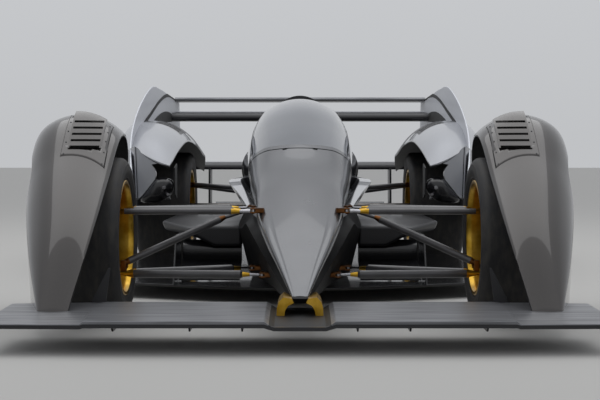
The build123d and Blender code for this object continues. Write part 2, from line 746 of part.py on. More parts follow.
def arm(height, legs):
    """A wishbone: an eye round the kingpin and legs, slim near the wheel, to their brackets on the hull."""
    with BuildSketch(Plane.XY.offset(height - EYE_THICK / 2)) as eye:
        with Locations((KINGPIN_X, FRONT_AXLE_Y)):
            Rectangle(2 * EYE_R, 2 * EYE_R)
            Circle(PIN_R + 0.5, mode=Mode.SUBTRACT)
    extrude(eye.sketch, amount=EYE_THICK)
    for leg_x, leg_y, bracket_x in legs:
        slope = (leg_y - FRONT_AXLE_Y) / (KINGPIN_X - leg_x)
        swell = (SLIM_END_X, FRONT_AXLE_Y + slope * (KINGPIN_X - SLIM_END_X), height)
        foot = (bracket_x, FRONT_AXLE_Y + slope * (KINGPIN_X - bracket_x), height)
        tube((KINGPIN_X - EYE_R + 3, FRONT_AXLE_Y + slope * (EYE_R - 3), height), swell, EYE_THICK / 2)
        tube(swell, foot, ARM_R)
        with BuildSketch(Plane.YZ.offset(leg_x)) as bracket:
            with Locations((foot[1], height)):
                Rectangle(BRACKET_LENGTH, BRACKET_HEIGHT)
        extrude(bracket.sketch, amount=bracket_x + 8 - leg_x)


SLIM_END_X = 715
BRACKET_LENGTH = 46
BRACKET_HEIGHT = 22
# columns: leg's inner x and y, its bracket's outer x
UPPER_LEGS = [(150, FRONT_AXLE_Y + 10, 200), (190, FRONT_AXLE_Y + 330, 224)]
LOWER_LEGS = [(80, FRONT_AXLE_Y - 60, 160), (120, FRONT_AXLE_Y + 330, 214)]
with BuildPart() as front_arms:
    arm(UPPER_ARM_Z, UPPER_LEGS)
    arm(LOWER_ARM_Z, LOWER_LEGS)
    add(hull_form.part, mode=Mode.SUBTRACT)
    add(shoulders_cut.part, mode=Mode.SUBTRACT)
    mirror(about=Plane.YZ)
save(front_arms, "front_arms")

PUSHROD_FOOT_Z = LOWER_ARM_Z + EYE_THICK / 2
with BuildPart() as front_pushrods:
    plate(728, 24, [
        (FRONT_AXLE_Y + 6, PUSHROD_FOOT_Z), (FRONT_AXLE_Y + 36, PUSHROD_FOOT_Z),
        (FRONT_AXLE_Y + 36, PUSHROD_FOOT_Z + 46), (FRONT_AXLE_Y + 6, PUSHROD_FOOT_Z + 46),
    ])
    tube((740, FRONT_AXLE_Y + 20, 226), (330, FRONT_AXLE_Y + 160, 410), 15)
    tube((330, FRONT_AXLE_Y + 160, 410), (190, FRONT_AXLE_Y + 208, 473), 9)
    add(hull_form.part, mode=Mode.SUBTRACT)
    add(shoulders_cut.part, mode=Mode.SUBTRACT)
    mirror(about=Plane.YZ)
save(front_pushrods, "front_pushrods")

# Steering rack with both track rods
ROD_EYE_X = KINGPIN_X
with BuildPart() as track_rods:
    tube((205, RACK_Y, UPPER_ARM_Z), (ROD_EYE_X - 16, RACK_Y, UPPER_ARM_Z), 12)
    with BuildSketch(Plane.XY.offset(UPPER_ARM_Z - 7)):
        with Locations((ROD_EYE_X, RACK_Y)):
            Rectangle(36, 36)
            Circle(11, mode=Mode.SUBTRACT)
    extrude(amount=14)
    mirror(about=Plane.YZ)
save(track_rods, "track_rods")

# Uprights with their stub axles, steering arms and brake calipers
STUB_R = 25
STUB_END_X = 905
SHAFT_R = 21
STEER_ARM_Z = 412
CORE_LOW_Z = LOWER_ARM_Z + EYE_THICK / 2 + GAP
CORE_HIGH_Z = UPPER_ARM_Z - EYE_THICK / 2 - GAP
CORE_HALF = 55
DISC_R = 165
DISC_THICK = 28
FRONT_HUB_X = 885
REAR_HUB_X = 905


def caliper(mount_x, hub_x, axle_y, axle_z, way):
    """A brake caliper round the edge of the disc, ahead of the axle or behind it, with its bracket."""
    disc_x = hub_x - DISC_THICK
    inner, outer = sorted((axle_y + way * 108, axle_y + way * 184))
    mouth_low, mouth_high = sorted((axle_y + way * 100, axle_y + way * (DISC_R + GAP)))
    with BuildSketch(Plane.YZ.offset(disc_x - 34)) as block:
        with Locations(((inner + outer) / 2, axle_z)):
            Rectangle(outer - inner, 120)
    extrude(block.sketch, amount=34 + DISC_THICK + 18)
    with BuildSketch(Plane.YZ.offset(disc_x - GAP)) as mouth:
        with Locations(((mouth_low + mouth_high) / 2, axle_z)):
            Rectangle(mouth_high - mouth_low, 140)
    extrude(mouth.sketch, amount=DISC_THICK + 2 * GAP, mode=Mode.SUBTRACT)
    low, high = sorted((axle_y + way * 40, axle_y + way * 130))
    plate(mount_x, disc_x - 26 - mount_x, [
        (low, axle_z - 28), (high, axle_z - 28), (high, axle_z + 28), (low, axle_z + 28),
    ])


with BuildPart() as upright:
    plate(KINGPIN_X - 16, 32, [
        (FRONT_AXLE_Y - 28, CORE_LOW_Z), (FRONT_AXLE_Y + 28, CORE_LOW_Z),
        (FRONT_AXLE_Y + CORE_HALF, CORE_LOW_Z + 50), (FRONT_AXLE_Y + CORE_HALF, CORE_HIGH_Z - 50),
        (FRONT_AXLE_Y + 28, CORE_HIGH_Z), (FRONT_AXLE_Y - 28, CORE_HIGH_Z),
        (FRONT_AXLE_Y - CORE_HALF, CORE_HIGH_Z - 50), (FRONT_AXLE_Y - CORE_HALF, CORE_LOW_Z + 50),
    ])
    rod((KINGPIN_X, FRONT_AXLE_Y, LOWER_ARM_Z - EYE_THICK / 2 - 4), (KINGPIN_X, FRONT_AXLE_Y, CORE_LOW_Z), PIN_R)
    rod((KINGPIN_X, FRONT_AXLE_Y, CORE_HIGH_Z), (KINGPIN_X, FRONT_AXLE_Y, UPPER_ARM_Z + EYE_THICK / 2 + 4), PIN_R)
    rod((KINGPIN_X, FRONT_AXLE_Y, FRONT_TYRE_R), (STUB_END_X, FRONT_AXLE_Y, FRONT_TYRE_R), STUB_R)
    plate(KINGPIN_X - 10, 20, [
        (RACK_Y - 10, STEER_ARM_Z - 8), (FRONT_AXLE_Y, STEER_ARM_Z - 8),
        (FRONT_AXLE_Y, STEER_ARM_Z + 8), (RACK_Y - 10, STEER_ARM_Z + 8),
    ])
    rod((KINGPIN_X, RACK_Y, STEER_ARM_Z), (KINGPIN_X, RACK_Y, UPPER_ARM_Z + 12), 6)
    caliper(KINGPIN_X, FRONT_HUB_X, FRONT_AXLE_Y, FRONT_TYRE_R, 1)
with BuildPart() as upright_right:
    mirror(upright.part, about=Plane.YZ)
save(upright, "front_left_upright")
save(upright_right, "front_right_upright")

# Rear suspension, carried by the gearbox and the engine cover's foot
REAR_UPRIGHT_X = 770
with BuildPart() as rear_uprights:
    plate(REAR_UPRIGHT_X, 40, [
        (REAR_AXLE_Y - 35, 190), (REAR_AXLE_Y + 35, 190), (REAR_AXLE_Y + 75, 290), (REAR_AXLE_Y + 75, 420),
        (REAR_AXLE_Y + 35, 520), (REAR_AXLE_Y - 35, 520), (REAR_AXLE_Y - 75, 420), (REAR_AXLE_Y - 75, 290),
    ])
    caliper(REAR_UPRIGHT_X, REAR_HUB_X, REAR_AXLE_Y, REAR_TYRE_R, -1)
    with BuildSketch(Plane.YZ.offset(REAR_UPRIGHT_X)):
        with Locations((REAR_AXLE_Y, REAR_TYRE_R)):
            Circle(34)
    extrude(amount=60, mode=Mode.SUBTRACT)
    mirror(about=Plane.YZ)
save(rear_uprights, "rear_uprights")

# columns: outer z, inner y, inner z
REAR_LEGS = [
    (500, REAR_AXLE_Y - 250, 460),
    (500, REAR_AXLE_Y + 300, 400),
    (215, REAR_AXLE_Y - 250, 215),
    (215, REAR_AXLE_Y + 300, 215),
]
with BuildPart() as rear_arms:
    for outer_z, inner_y, inner_z in REAR_LEGS:
        side = 12 if inner_y > REAR_AXLE_Y else -12
        tube((790, REAR_AXLE_Y + side, outer_z), (60, inner_y, inner_z), 15)
    add(rear_uprights.part, mode=Mode.SUBTRACT)
    add(gearbox.part, mode=Mode.SUBTRACT)
    add(engine_cover.part, mode=Mode.SUBTRACT)
    mirror(about=Plane.YZ)
save(rear_arms, "rear_arms")

# Wheels: tyre, rim with its hub, and brake disc
# columns: name, axle y, tyre radius, wheel x, tyre width, bead inset, shoulder inset, hub x
WHEELS = [
    ("front", FRONT_AXLE_Y, FRONT_TYRE_R, FRONT_WHEEL_X, FRONT_TYRE_WIDTH, 16, 15, FRONT_HUB_X),
    ("rear", REAR_AXLE_Y, REAR_TYRE_R, REAR_WHEEL_X, REAR_TYRE_WIDTH, 18, 16, REAR_HUB_X),
]
RIM_SIDES = 40
FLAT_TURN = 180 / RIM_SIDES
SHOULDER_DROP = 12
HALF_SHAFT_X = 180
HUB_R = 78
HUB_DEPTH = 30
SPOKES = 10
SPOKE_THICK = 20
for place, axle_y, tyre_r, wheel_x, width, bead_inset, shoulder_inset, hub_x in WHEELS:
    half = width / 2
    bead = half - bead_inset
    shoulder = half - shoulder_inset
    hub = hub_x - wheel_x
    centre = Plane(origin=(wheel_x, axle_y, tyre_r), x_dir=(1, 0, 0), z_dir=(0, -1, 0))
    axle = Axis((0, axle_y, tyre_r), (1, 0, 0))
    with BuildPart() as tyre:
        with BuildSketch(centre):
            Polygon(
                (-half, 0), (-half, tyre_r - SHOULDER_DROP), (-shoulder, tyre_r), (shoulder, tyre_r),
                (half, tyre_r - SHOULDER_DROP), (half, 0), align=None,
            )
        revolve(axis=axle)
        with BuildSketch(Plane.YZ.offset(wheel_x)):
            with Locations((axle_y, tyre_r)):
                RegularPolygon(RIM_R, RIM_SIDES, rotation=FLAT_TURN)
        extrude(amount=width, both=True, mode=Mode.SUBTRACT)
    with BuildPart() as rim:
        with BuildSketch(Plane.YZ.offset(wheel_x)):
            with Locations((axle_y, tyre_r)):
                RegularPolygon(RIM_R, RIM_SIDES, rotation=FLAT_TURN)
                RegularPolygon(RIM_R - RIM_WALL, RIM_SIDES, rotation=FLAT_TURN, mode=Mode.SUBTRACT)
        extrude(amount=bead, both=True)
        with BuildSketch(Plane.YZ.offset(hub_x)):
            with Locations((axle_y, tyre_r)):
                RegularPolygon(HUB_R, RIM_SIDES // 2, rotation=2 * FLAT_TURN)
        extrude(amount=HUB_DEPTH)
        for spoke in range(SPOKES):
            angle = radians(360 / SPOKES * spoke)
            arm_plane = Plane(
                origin=(wheel_x, axle_y, tyre_r), x_dir=(1, 0, 0), z_dir=(0, -cos(angle), sin(angle))
            )
            with BuildSketch(arm_plane):
                Polygon(
                    (hub + 2, 60), (hub + HUB_DEPTH - 6, 60), (bead - 8, RIM_R - 5), (bead - 34, RIM_R - 5),
                    align=None,
                )
            extrude(amount=SPOKE_THICK / 2, both=True)
        if place == "front":
            with BuildSketch(Plane.YZ.offset(hub_x)):
                with Locations((axle_y, tyre_r)):
                    Circle(STUB_R + 1)
            extrude(amount=HUB_DEPTH - 8, mode=Mode.SUBTRACT)
    with BuildPart() as disc:
        with BuildSketch(Plane.YZ.offset(hub_x)):
            with Locations((axle_y, tyre_r)):
                RegularPolygon(DISC_R, RIM_SIDES)
        extrude(amount=-DISC_THICK)
        if place == "front":
            with BuildSketch(Plane.YZ.offset(hub_x)):
                with Locations((axle_y, tyre_r)):
                    Circle(STUB_R + 1)
            extrude(amount=-DISC_THICK, mode=Mode.SUBTRACT)
        else:
            rod((HALF_SHAFT_X, axle_y, tyre_r), (hub_x - DISC_THICK, axle_y, tyre_r), SHAFT_R)
    for kind, piece in (("tyre", tyre), ("rim", rim), ("disc", disc)):
        save(piece, f"{place}_left_{kind}")
        with BuildPart() as right_piece:
            mirror(piece.part, about=Plane.YZ)
        save(right_piece, f"{place}_right_{kind}")

# Steering wheel on its column, and the dash that the column passes through
COLUMN_Y = -640
COLUMN_Z = 640
COLUMN_TILT = 20
COLUMN_R = 14
COLUMN_LENGTH = 260
DASH_DISTANCE = 150
DASH_THICK = 24
column_dir = Vector(0, cos(radians(COLUMN_TILT)), sin(radians(COLUMN_TILT)))
wheel_place = Vector(0, COLUMN_Y, COLUMN_Z)
with BuildPart() as steering_wheel:
    with BuildSketch(Plane(origin=wheel_place, x_dir=(1, 0, 0), z_dir=column_dir)):
        Polygon(
            (-110, 80), (110, 80), (135, 50), (135, -50), (105, -80), (-105, -80), (-135, -50), (-135, 50),
            align=None,
        )
        with Locations((95, 0), (-95, 0)):
            Rectangle(40, 90, mode=Mode.SUBTRACT)
    extrude(amount=24)
    rod(wheel_place, wheel_place - column_dir * COLUMN_LENGTH, COLUMN_R)
save(steering_wheel, "steering_wheel")

dash_place = wheel_place - column_dir * DASH_DISTANCE
with BuildPart() as dash:
    with BuildSketch(Plane(origin=dash_place, x_dir=(1, 0, 0), z_dir=column_dir)):
        with Locations((0, -20)):
            Rectangle(600, 130)
        Circle(COLUMN_R + 1, mode=Mode.SUBTRACT)
    extrude(amount=-DASH_THICK)
    add(cockpit_cavity.part, mode=Mode.INTERSECT)
save(dash, "dash")
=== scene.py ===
import json
from contextlib import contextmanager
from math import atan, atan2, cos, pi, radians, sin, sqrt

import bpy
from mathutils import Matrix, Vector

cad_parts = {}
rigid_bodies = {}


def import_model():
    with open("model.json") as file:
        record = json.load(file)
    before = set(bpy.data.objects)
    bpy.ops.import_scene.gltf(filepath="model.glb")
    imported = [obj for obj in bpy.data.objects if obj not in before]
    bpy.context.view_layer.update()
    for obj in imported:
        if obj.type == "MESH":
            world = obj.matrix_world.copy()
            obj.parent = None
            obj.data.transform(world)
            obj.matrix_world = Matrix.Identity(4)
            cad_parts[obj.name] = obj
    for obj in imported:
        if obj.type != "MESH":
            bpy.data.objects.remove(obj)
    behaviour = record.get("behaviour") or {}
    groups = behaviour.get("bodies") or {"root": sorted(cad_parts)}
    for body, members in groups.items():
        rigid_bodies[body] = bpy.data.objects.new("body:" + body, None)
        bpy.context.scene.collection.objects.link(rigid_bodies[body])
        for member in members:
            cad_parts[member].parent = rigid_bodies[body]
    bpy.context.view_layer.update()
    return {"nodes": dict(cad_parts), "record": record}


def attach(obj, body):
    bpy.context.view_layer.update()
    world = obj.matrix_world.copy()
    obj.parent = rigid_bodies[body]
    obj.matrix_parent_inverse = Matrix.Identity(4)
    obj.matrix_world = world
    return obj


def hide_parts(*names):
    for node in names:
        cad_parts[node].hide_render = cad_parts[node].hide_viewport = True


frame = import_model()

MM = 0.001
MERGE_DISTANCE = 0.00002
nodes = frame["nodes"]

# Camera: a level view from straight ahead, solved from the photograph
PHOTO_WIDTH, PHOTO_HEIGHT = 600, 400
FOCAL_PX = 1259
HORIZON_ROW = 160
SENSOR_MM = 36
CAMERA_Y = -6.970
CAMERA_Z = 0.659


def make_camera():
    data = bpy.data.cameras.new("camera")
    data.sensor_width = SENSOR_MM
    data.lens = SENSOR_MM * FOCAL_PX / PHOTO_WIDTH
    camera = bpy.data.objects.new("camera", data)
    bpy.context.scene.collection.objects.link(camera)
    tilt_down = atan((PHOTO_HEIGHT / 2 - HORIZON_ROW) / FOCAL_PX)
    camera.location = (0, CAMERA_Y, CAMERA_Z)
    camera.rotation_euler = (pi / 2 - tilt_down, 0, 0)
    bpy.context.scene.camera = camera


make_camera()


# Colours and material nodes
def linear(hex_colour):
    """An sRGB hex colour as linear red, green, blue and alpha."""
    channels = [int(hex_colour[i:i + 2], 16) / 255 for i in (1, 3, 5)]
    return [c / 12.92 if c <= 0.04045 else ((c + 0.055) / 1.055) ** 2.4 for c in channels] + [1]


def new_material(name, values):
    """A material with a Principled shader, given its fixed values by socket."""
    material = bpy.data.materials.new(name)
    material.use_nodes = True
    for socket, value in values.items():
        material.node_tree.nodes["Principled BSDF"].inputs[socket].default_value = value
    return material


def add_node(owner, kind, inputs=(), **settings):
    """Adds a node of a kind to a material or world, sets its values by socket or property name, and feeds its
    inputs with links or numbers."""
    tree = owner.node_tree
    node = tree.nodes.new("ShaderNode" + kind)
    for name, value in settings.items():
        if hasattr(node, name):
            setattr(node, name, value)
        else:
            node.inputs[name].default_value = value
    for socket, source in inputs:
        if isinstance(source, bpy.types.NodeSocket):
            tree.links.new(source, node.inputs[socket])
        else:
            node.inputs[socket].default_value = source
    return node


def noise(owner, scale, stretch=(1, 1, 1), detail=3.0):
    """Cloudy noise on the object's own coordinates in metres, thinned or drawn out along the axes."""
    place = add_node(owner, "TexCoord")
    drawn = add_node(owner, "Mapping", [("Vector", place.outputs["Object"])], Scale=stretch)
    texture = add_node(owner, "TexNoise", [("Vector", drawn.outputs["Vector"])], Scale=scale, Detail=detail)
    return texture.outputs["Fac"]


def lay_on(owner, colours, roughness=None, height=None, depth=0.0):
    """Lays patterns on a material's or world's shader: its first socket's colours, by a factor, the low and the
    high colour and their places if not the usual ones; its roughness, by a factor and its low and high value; and
    relief, by a factor and its depth in metres."""
    tree = owner.node_tree
    shader = tree.nodes.get("Principled BSDF") or tree.nodes["Background"]
    factor, low_colour, high_colour, *places = colours
    ramp = add_node(owner, "ValToRGB", [("Fac", factor)])
    for stop, place, colour in zip(ramp.color_ramp.elements, places or (0.35, 0.65), (low_colour, high_colour)):
        stop.position = place
        stop.color = linear(colour)
    tree.links.new(ramp.outputs["Color"], shader.inputs[0])
    if roughness is not None:
        factor, low, high = roughness
        spread = add_node(owner, "MapRange", [("Value", factor), ("To Min", low), ("To Max", high)])
        tree.links.new(spread.outputs["Result"], shader.inputs["Roughness"])
    if height is not None:
        bump = add_node(owner, "Bump", [("Height", height)], Strength=1.0, Distance=depth)
        tree.links.new(bump.outputs["Normal"], shader.inputs["Normal"])
    return owner


def gunmetal_paint(name, dark, pale, roughness, coat=0.9):
    """Metallic lacquer: 1 mm clouds of flakes give it depth, the clear coat over them is wet and slightly
    rippled, and a thin film of road dust dulls it in patches a hand wide."""
    material = new_material(name, {"Metallic": 0.8, "Coat Weight": coat, "Coat Roughness": 0.04})
    flakes, dust, ripples = noise(material, 900), noise(material, 9), noise(material, 120, detail=1.0)
    return lay_on(material, (flakes, dark, pale), (dust, roughness - 0.05, roughness + 0.07), ripples, 0.000003)


TOW_WIDTH = 0.0025


def carbon(name, dark, pale, roughness, coat, sheen=0.35):
    """Carbon cloth in resin: 2.5 mm tows in a 2 by 2 twill, whose steps show as fine slanting lines in a glint."""
    material = new_material(name, {
        "Specular IOR Level": sheen, "Coat Weight": coat, "Coat IOR": 1.4, "Coat Roughness": 0.05,
    })
    place = add_node(material, "TexCoord")
    parts = add_node(material, "SeparateXYZ", [("Vector", place.outputs["Object"])])
    slope = add_node(material, "Math", [(0, parts.outputs["X"]), (1, parts.outputs["Z"])], operation="ADD")
    tows = []
    for run in (slope.outputs["Value"], parts.outputs["Y"]):
        scaled = add_node(material, "Math", [(0, run), (1, TOW_WIDTH)], operation="DIVIDE")
        tows.append(add_node(material, "Math", [(0, scaled.outputs["Value"])], operation="FLOOR"))
    step = add_node(material, "Math", [(i, tow.outputs["Value"]) for i, tow in enumerate(tows)], operation="ADD")
    turn = add_node(material, "Math", [(0, step.outputs["Value"]), (1, 4)], operation="FLOORED_MODULO")
    over = add_node(material, "Math", [(0, turn.outputs["Value"]), (1, 1.5)], operation="GREATER_THAN")
    clouds = noise(material, 12)
    return lay_on(material, (over.outputs["Value"], dark, pale), (clouds, roughness - 0.04, roughness + 0.06))


def streaked_satin(name, dark, pale):
    """Satin lacquer on a wing: long pale streaks across the car in its colour are painted reflections of the sky, and
    the same streaks vary its roughness where dust dulls it unevenly.
    """
    material = new_material(name, {"Metallic": 0.6})
    sky_sheen_and_dust_streaks = noise(material, 3.0, (1.2, 26, 26), 5.0)
    # The pale colour of the streaks is painted sky reflection, and their roughness stands for dust.
    return lay_on(material, (sky_sheen_and_dust_streaks, dark, pale, 0.3, 0.7), (sky_sheen_and_dust_streaks, 0.42, 0.28), noise(material, 240), 0.00004)


def tinted_canopy(name):
    """Smoked polycarbonate, mirror smooth: the cockpit shows faintly through its cloudy blue-grey tint, and its
    hard coat mirrors the sky."""
    material = new_material(name, {
        "Metallic": 0.25, "Roughness": 0.02, "IOR": 1.58, "Transmission Weight": 0.35, "Coat Weight": 1.0,
        "Coat Roughness": 0.02,
    })
    return lay_on(material, (noise(material, 2.5), "#4a5059", "#60666f"))


def anodised(name, dark, pale, roughness):
    """Blasted and anodised aluminium: a fine 0.5 mm grain, with the dye a little deeper in patches."""
    material = new_material(name, {"Metallic": 1.0})
    grain, patches = noise(material, 2000), noise(material, 22)
    return lay_on(material, (patches, dark, pale), (grain, roughness - 0.06, roughness + 0.06), grain, 0.00002)


def enamel(name, dark, pale):
    """Enamel baked on steel tube: satin, with faint runs along the tube and a soft sheen on top."""
    material = new_material(name, {"Coat Weight": 0.5, "Coat Roughness": 0.2})
    runs = noise(material, 30, (0.3, 1, 1))
    return lay_on(material, (runs, dark, pale), (runs, 0.28, 0.4))


def casting(name, dark, pale):
    """Sand-cast alloy: a 2 mm grain over the whole surface, with oil-darkened patches."""
    material = new_material(name, {"Metallic": 0.85})
    grain = noise(material, 500)
    return lay_on(material, (noise(material, 14), dark, pale), (grain, 0.42, 0.62), grain, 0.00025)


def slick_rubber(name):
    """Soft slick rubber: near black, with pale road dust in streaks round the wheel and a fine pebbled skin."""
    material = new_material(name, {})
    dust = noise(material, 16, (3, 1, 1), 6.0)
    return lay_on(material, (dust, "#1b1b1d", "#3b3834", 0.4, 0.8), (dust, 0.5, 0.85), noise(material, 900), 0.00012)


RING_HALF_WIDTH = 0.0006


def turned_steel(name, axle):
    """Brake iron turned on a lathe: 1.2 mm rings round the axle, which smear a glint into a bow tie."""
    material = new_material(name, {"Metallic": 0.9})
    place = add_node(material, "TexCoord")
    centred = add_node(material, "Mapping", [("Vector", place.outputs["Object"])],
                       Location=(0, -axle[0] * MM, -axle[1] * MM))
    flat = add_node(material, "VectorMath", [(0, centred.outputs["Vector"]), (1, (0, 1, 1))],
                    operation="MULTIPLY")
    radius = add_node(material, "VectorMath", [(0, flat.outputs["Vector"])], operation="LENGTH")
    rings = add_node(material, "Math", [(0, radius.outputs["Value"]), (1, RING_HALF_WIDTH)],
                     operation="PINGPONG")
    groove = add_node(material, "MapRange", [("Value", rings.outputs["Value"]), ("From Max", RING_HALF_WIDTH)])
    groove = groove.outputs["Result"]
    return lay_on(material, (noise(material, 20), "#4c4a48", "#6b6866"), (groove, 0.3, 0.45), groove, 0.00008)


def woven_cover(name):
    """Flame-proof woven cloth: 1.6 mm threads over and under, soft at grazing angles, faded in patches."""
    material = new_material(name, {"Roughness": 0.9, "Sheen Weight": 0.5, "Sheen Roughness": 0.4})
    place = add_node(material, "TexCoord")
    threads = add_node(material, "TexChecker", [("Vector", place.outputs["Object"])], Scale=620.0)
    return lay_on(material, (noise(material, 10), "#151517", "#232327"), height=threads.outputs["Fac"], depth=0.0003)


def moulded_plastic(name):
    """Moulded plastic with a fine leathery grain that keeps its shine broken."""
    material = new_material(name, {})
    grain = noise(material, 700)
    return lay_on(material, (grain, "#131315", "#1e1e21"), (grain, 0.42, 0.6), grain, 0.00015)


def red_lens(name):
    """A moulded red lens with 10 mm upright prisms behind a clear, glossy face."""
    material = new_material(name, {"Roughness": 0.2, "Coat Weight": 1.0})
    place = add_node(material, "TexCoord")
    prisms = add_node(material, "TexWave", [("Vector", place.outputs["Object"])], Scale=32.0)
    return lay_on(material, (prisms.outputs["Fac"], "#5d0808", "#a31414", 0.1, 0.9))


def plain(name, colour, roughness):
    return new_material(name, {"Base Color": linear(colour), "Roughness": roughness})


FRONT_AXLE = (-1720, 335)
REAR_AXLE = (1380, 355)
MATERIALS = {
    # One silver lacquer in three copies: the copy for the fins and the wing's tail strips is lighter, a painted
    # highlight, and the copy for the hull and canopy frame is darker, painted shade.
    "silver_paint": gunmetal_paint("silver lacquer", "#a2a4a9", "#b0b2b7", 0.32),
    "fin_paint": gunmetal_paint("pale silver lacquer", "#c6c8cd", "#d0d2d7", 0.55, 0.1),
    "painted_shade_silver": gunmetal_paint("deep silver lacquer", "#535457", "#5e5f62", 0.24, 0.3),
    "fender_paint": gunmetal_paint("gunmetal lacquer", "#343130", "#3e3b39", 0.3),
    "gloss_carbon": carbon("gloss carbon", "#0b0b0c", "#1a1a1d", 0.24, 0.6),
    "tub_carbon": carbon("lacquered tub carbon", "#050506", "#0b0b0c", 0.4, 0.0, 0.03),
    "satin_carbon": carbon("satin carbon", "#18181a", "#29292c", 0.38, 0.15),
    "bare_carbon": carbon("unpolished carbon", "#0e0e0f", "#19191b", 0.55, 0.0),
    "wing_satin": streaked_satin("streaked wing satin", "#5f6063", "#8d8e92"),
    "tinted_glass": tinted_canopy("smoked polycarbonate"),
    "gold_metal": anodised("gold anodised aluminium", "#ad8526", "#cda543", 0.3),
    "bronze": anodised("bronze anodised aluminium", "#54361f", "#7a5230", 0.35),
    "bare_steel": anodised("ground steel", "#8f8f92", "#b4b4b8", 0.25),
    "dark_tube": enamel("dark enamelled tube", "#2c2b2d", "#3e3d40"),
    "cast_metal": casting("cast alloy", "#4b4a49", "#6b6a69"),
    "tyre_rubber": slick_rubber("slick rubber"),
    "brake_steel": turned_steel("turned front brake iron", FRONT_AXLE),
    "rear_brake_steel": turned_steel("turned rear brake iron", REAR_AXLE),
    "seat_fabric": woven_cover("woven seat cover"),
    "dark_plastic": moulded_plastic("moulded plastic"),
    "lamp_red": red_lens("red lens"),
}

NODE_FINISHES = {row["node"]: row["material_slot"] for row in frame["record"]["subparts"]}
for node, finish in NODE_FINISHES.items():
    mesh = nodes[node].data
    mesh.materials.clear()
    mesh.materials.append(MATERIALS[finish])


# Shapes: sections from short tables, joined into closed solids
def arc(start, middle, end, count):
    """Points on the arc through three points, both ends among them."""
    (ax, ay), (bx, by), (cx, cy) = start, middle, end
    scale = 2 * (ax * (by - cy) + bx * (cy - ay) + cx * (ay - by))
    squares = [x * x + y * y for x, y in (start, middle, end)]
    centre_x = (squares[0] * (by - cy) + squares[1] * (cy - ay) + squares[2] * (ay - by)) / scale
    centre_y = (squares[0] * (cx - bx) + squares[1] * (ax - cx) + squares[2] * (bx - ax)) / scale
    radius = sqrt((ax - centre_x) ** 2 + (ay - centre_y) ** 2)
    angles = [atan2(y - centre_y, x - centre_x) for x, y in (start, middle, end)]
    for i in (1, 2):
        turn = (angles[i] - angles[i - 1] + pi) % (2 * pi) - pi
        angles[i] = angles[i - 1] + turn
    steps = [angles[0] + (angles[2] - angles[0]) * i / (count - 1) for i in range(count)]
    return [(centre_x + radius * cos(a), centre_y + radius * sin(a)) for a in steps]


def rows_between(rows, steps):
    """The rows of an evenly spaced table with more rows between them, on a smooth curve through them."""
    fine = []
    last = len(rows) - 1
    for i in range(last):
        before, here, there, beyond = (rows[min(max(k, 0), last)] for k in (i - 1, i, i + 1, i + 2))
        if i == 0:
            before = [2 * a - b for a, b in zip(here, there)]
        if i == last - 1:
            beyond = [2 * b - a for a, b in zip(here, there)]
        for k in range(steps):
            t = k / steps
            fine.append([
                0.5 * (2 * b + (c - a) * t + (2 * a - 5 * b + 4 * c - d) * t * t + (3 * b - a - 3 * c + d) * t ** 3)
                for a, b, c, d in zip(before, here, there, beyond)
            ])
    fine.append(list(rows[-1]))
    return fine


def select_only(piece):
    bpy.ops.object.select_all(action="DESELECT")
    piece.select_set(True)
    bpy.context.view_layer.objects.active = piece


def started(name, add, **settings):
    """A new primitive, alone in the selection, to be shaped."""
    bpy.ops.object.select_all(action="DESELECT")
    add(**settings)
    piece = bpy.context.object
    piece.name = name
    return piece


@contextmanager
def editing(piece):
    """Edit mode with all of a piece selected, and object mode again afterwards."""
    select_only(piece)
    bpy.ops.object.mode_set(mode="EDIT")
    bpy.ops.mesh.select_all(action="SELECT")
    yield
    bpy.ops.object.mode_set(mode="OBJECT")


def tidy_mesh():
    """In edit mode: merges what coincides, closes open ends and turns all faces outwards."""
    bpy.ops.mesh.select_all(action="SELECT")
    bpy.ops.mesh.remove_doubles(threshold=MERGE_DISTANCE)
    bpy.ops.mesh.fill_holes(sides=0)
    bpy.ops.mesh.select_all(action="SELECT")
    bpy.ops.mesh.normals_make_consistent(inside=False)


def place_corners(piece, places):
    """Puts a mesh's corners, in their order, at places in millimetres."""
    piece.data.vertices.foreach_set("co", [v * MM for place in places for v in place])
    piece.data.update()


def wrapped(name, rings):
    """A closed solid: a grid wrapped round rings of x, y and z in millimetres, with closed ends."""
    piece = started(name, bpy.ops.mesh.primitive_grid_add, x_subdivisions=len(rings[0]),
                    y_subdivisions=len(rings) - 1, size=1)
    place_corners(piece, [corner for ring in rings for corner in list(ring) + [ring[0]]])
    with editing(piece):
        tidy_mesh()
    return piece


def lofted(name, stations, rings):
    """A closed solid through rings of x and z at their stations along the car."""
    return wrapped(name, [[(x, y, z) for x, z in ring] for y, ring in zip(stations, rings)])


def through(name, rows, section, *wall):
    """A closed solid through the rings that a section function makes of a table's rows."""
    return lofted(name, [row[0] for row in rows], [section(row, *wall) for row in rows])


def spun(name, corners, centre, axis, steps):
    """A closed ring of corners, spun once round an axis, in millimetres."""
    piece = started(name, bpy.ops.mesh.primitive_circle_add, vertices=len(corners), radius=1, fill_type="NOTHING")
    place_corners(piece, corners)
    with editing(piece):
        bpy.ops.mesh.spin(steps=steps, angle=2 * pi, center=[v * MM for v in centre], axis=axis)
        tidy_mesh()
    return piece


def revolved(name, profile, axle, steps, middle=0):
    """A closed ring of x, counted from a middle, and radius, spun round an axle at y and z."""
    return spun(name, [(middle + x, axle[0], axle[1] + r) for x, r in profile], (0, *axle), (1, 0, 0), steps)


def repeated(piece, axle, count):
    """Sets copies of a piece evenly round an axle, all in one mesh."""
    with editing(piece):
        bpy.ops.mesh.spin(
            steps=count - 1, dupli=True, angle=2 * pi * (count - 1) / count,
            center=(0, axle[0] * MM, axle[1] * MM), axis=(1, 0, 0),
        )


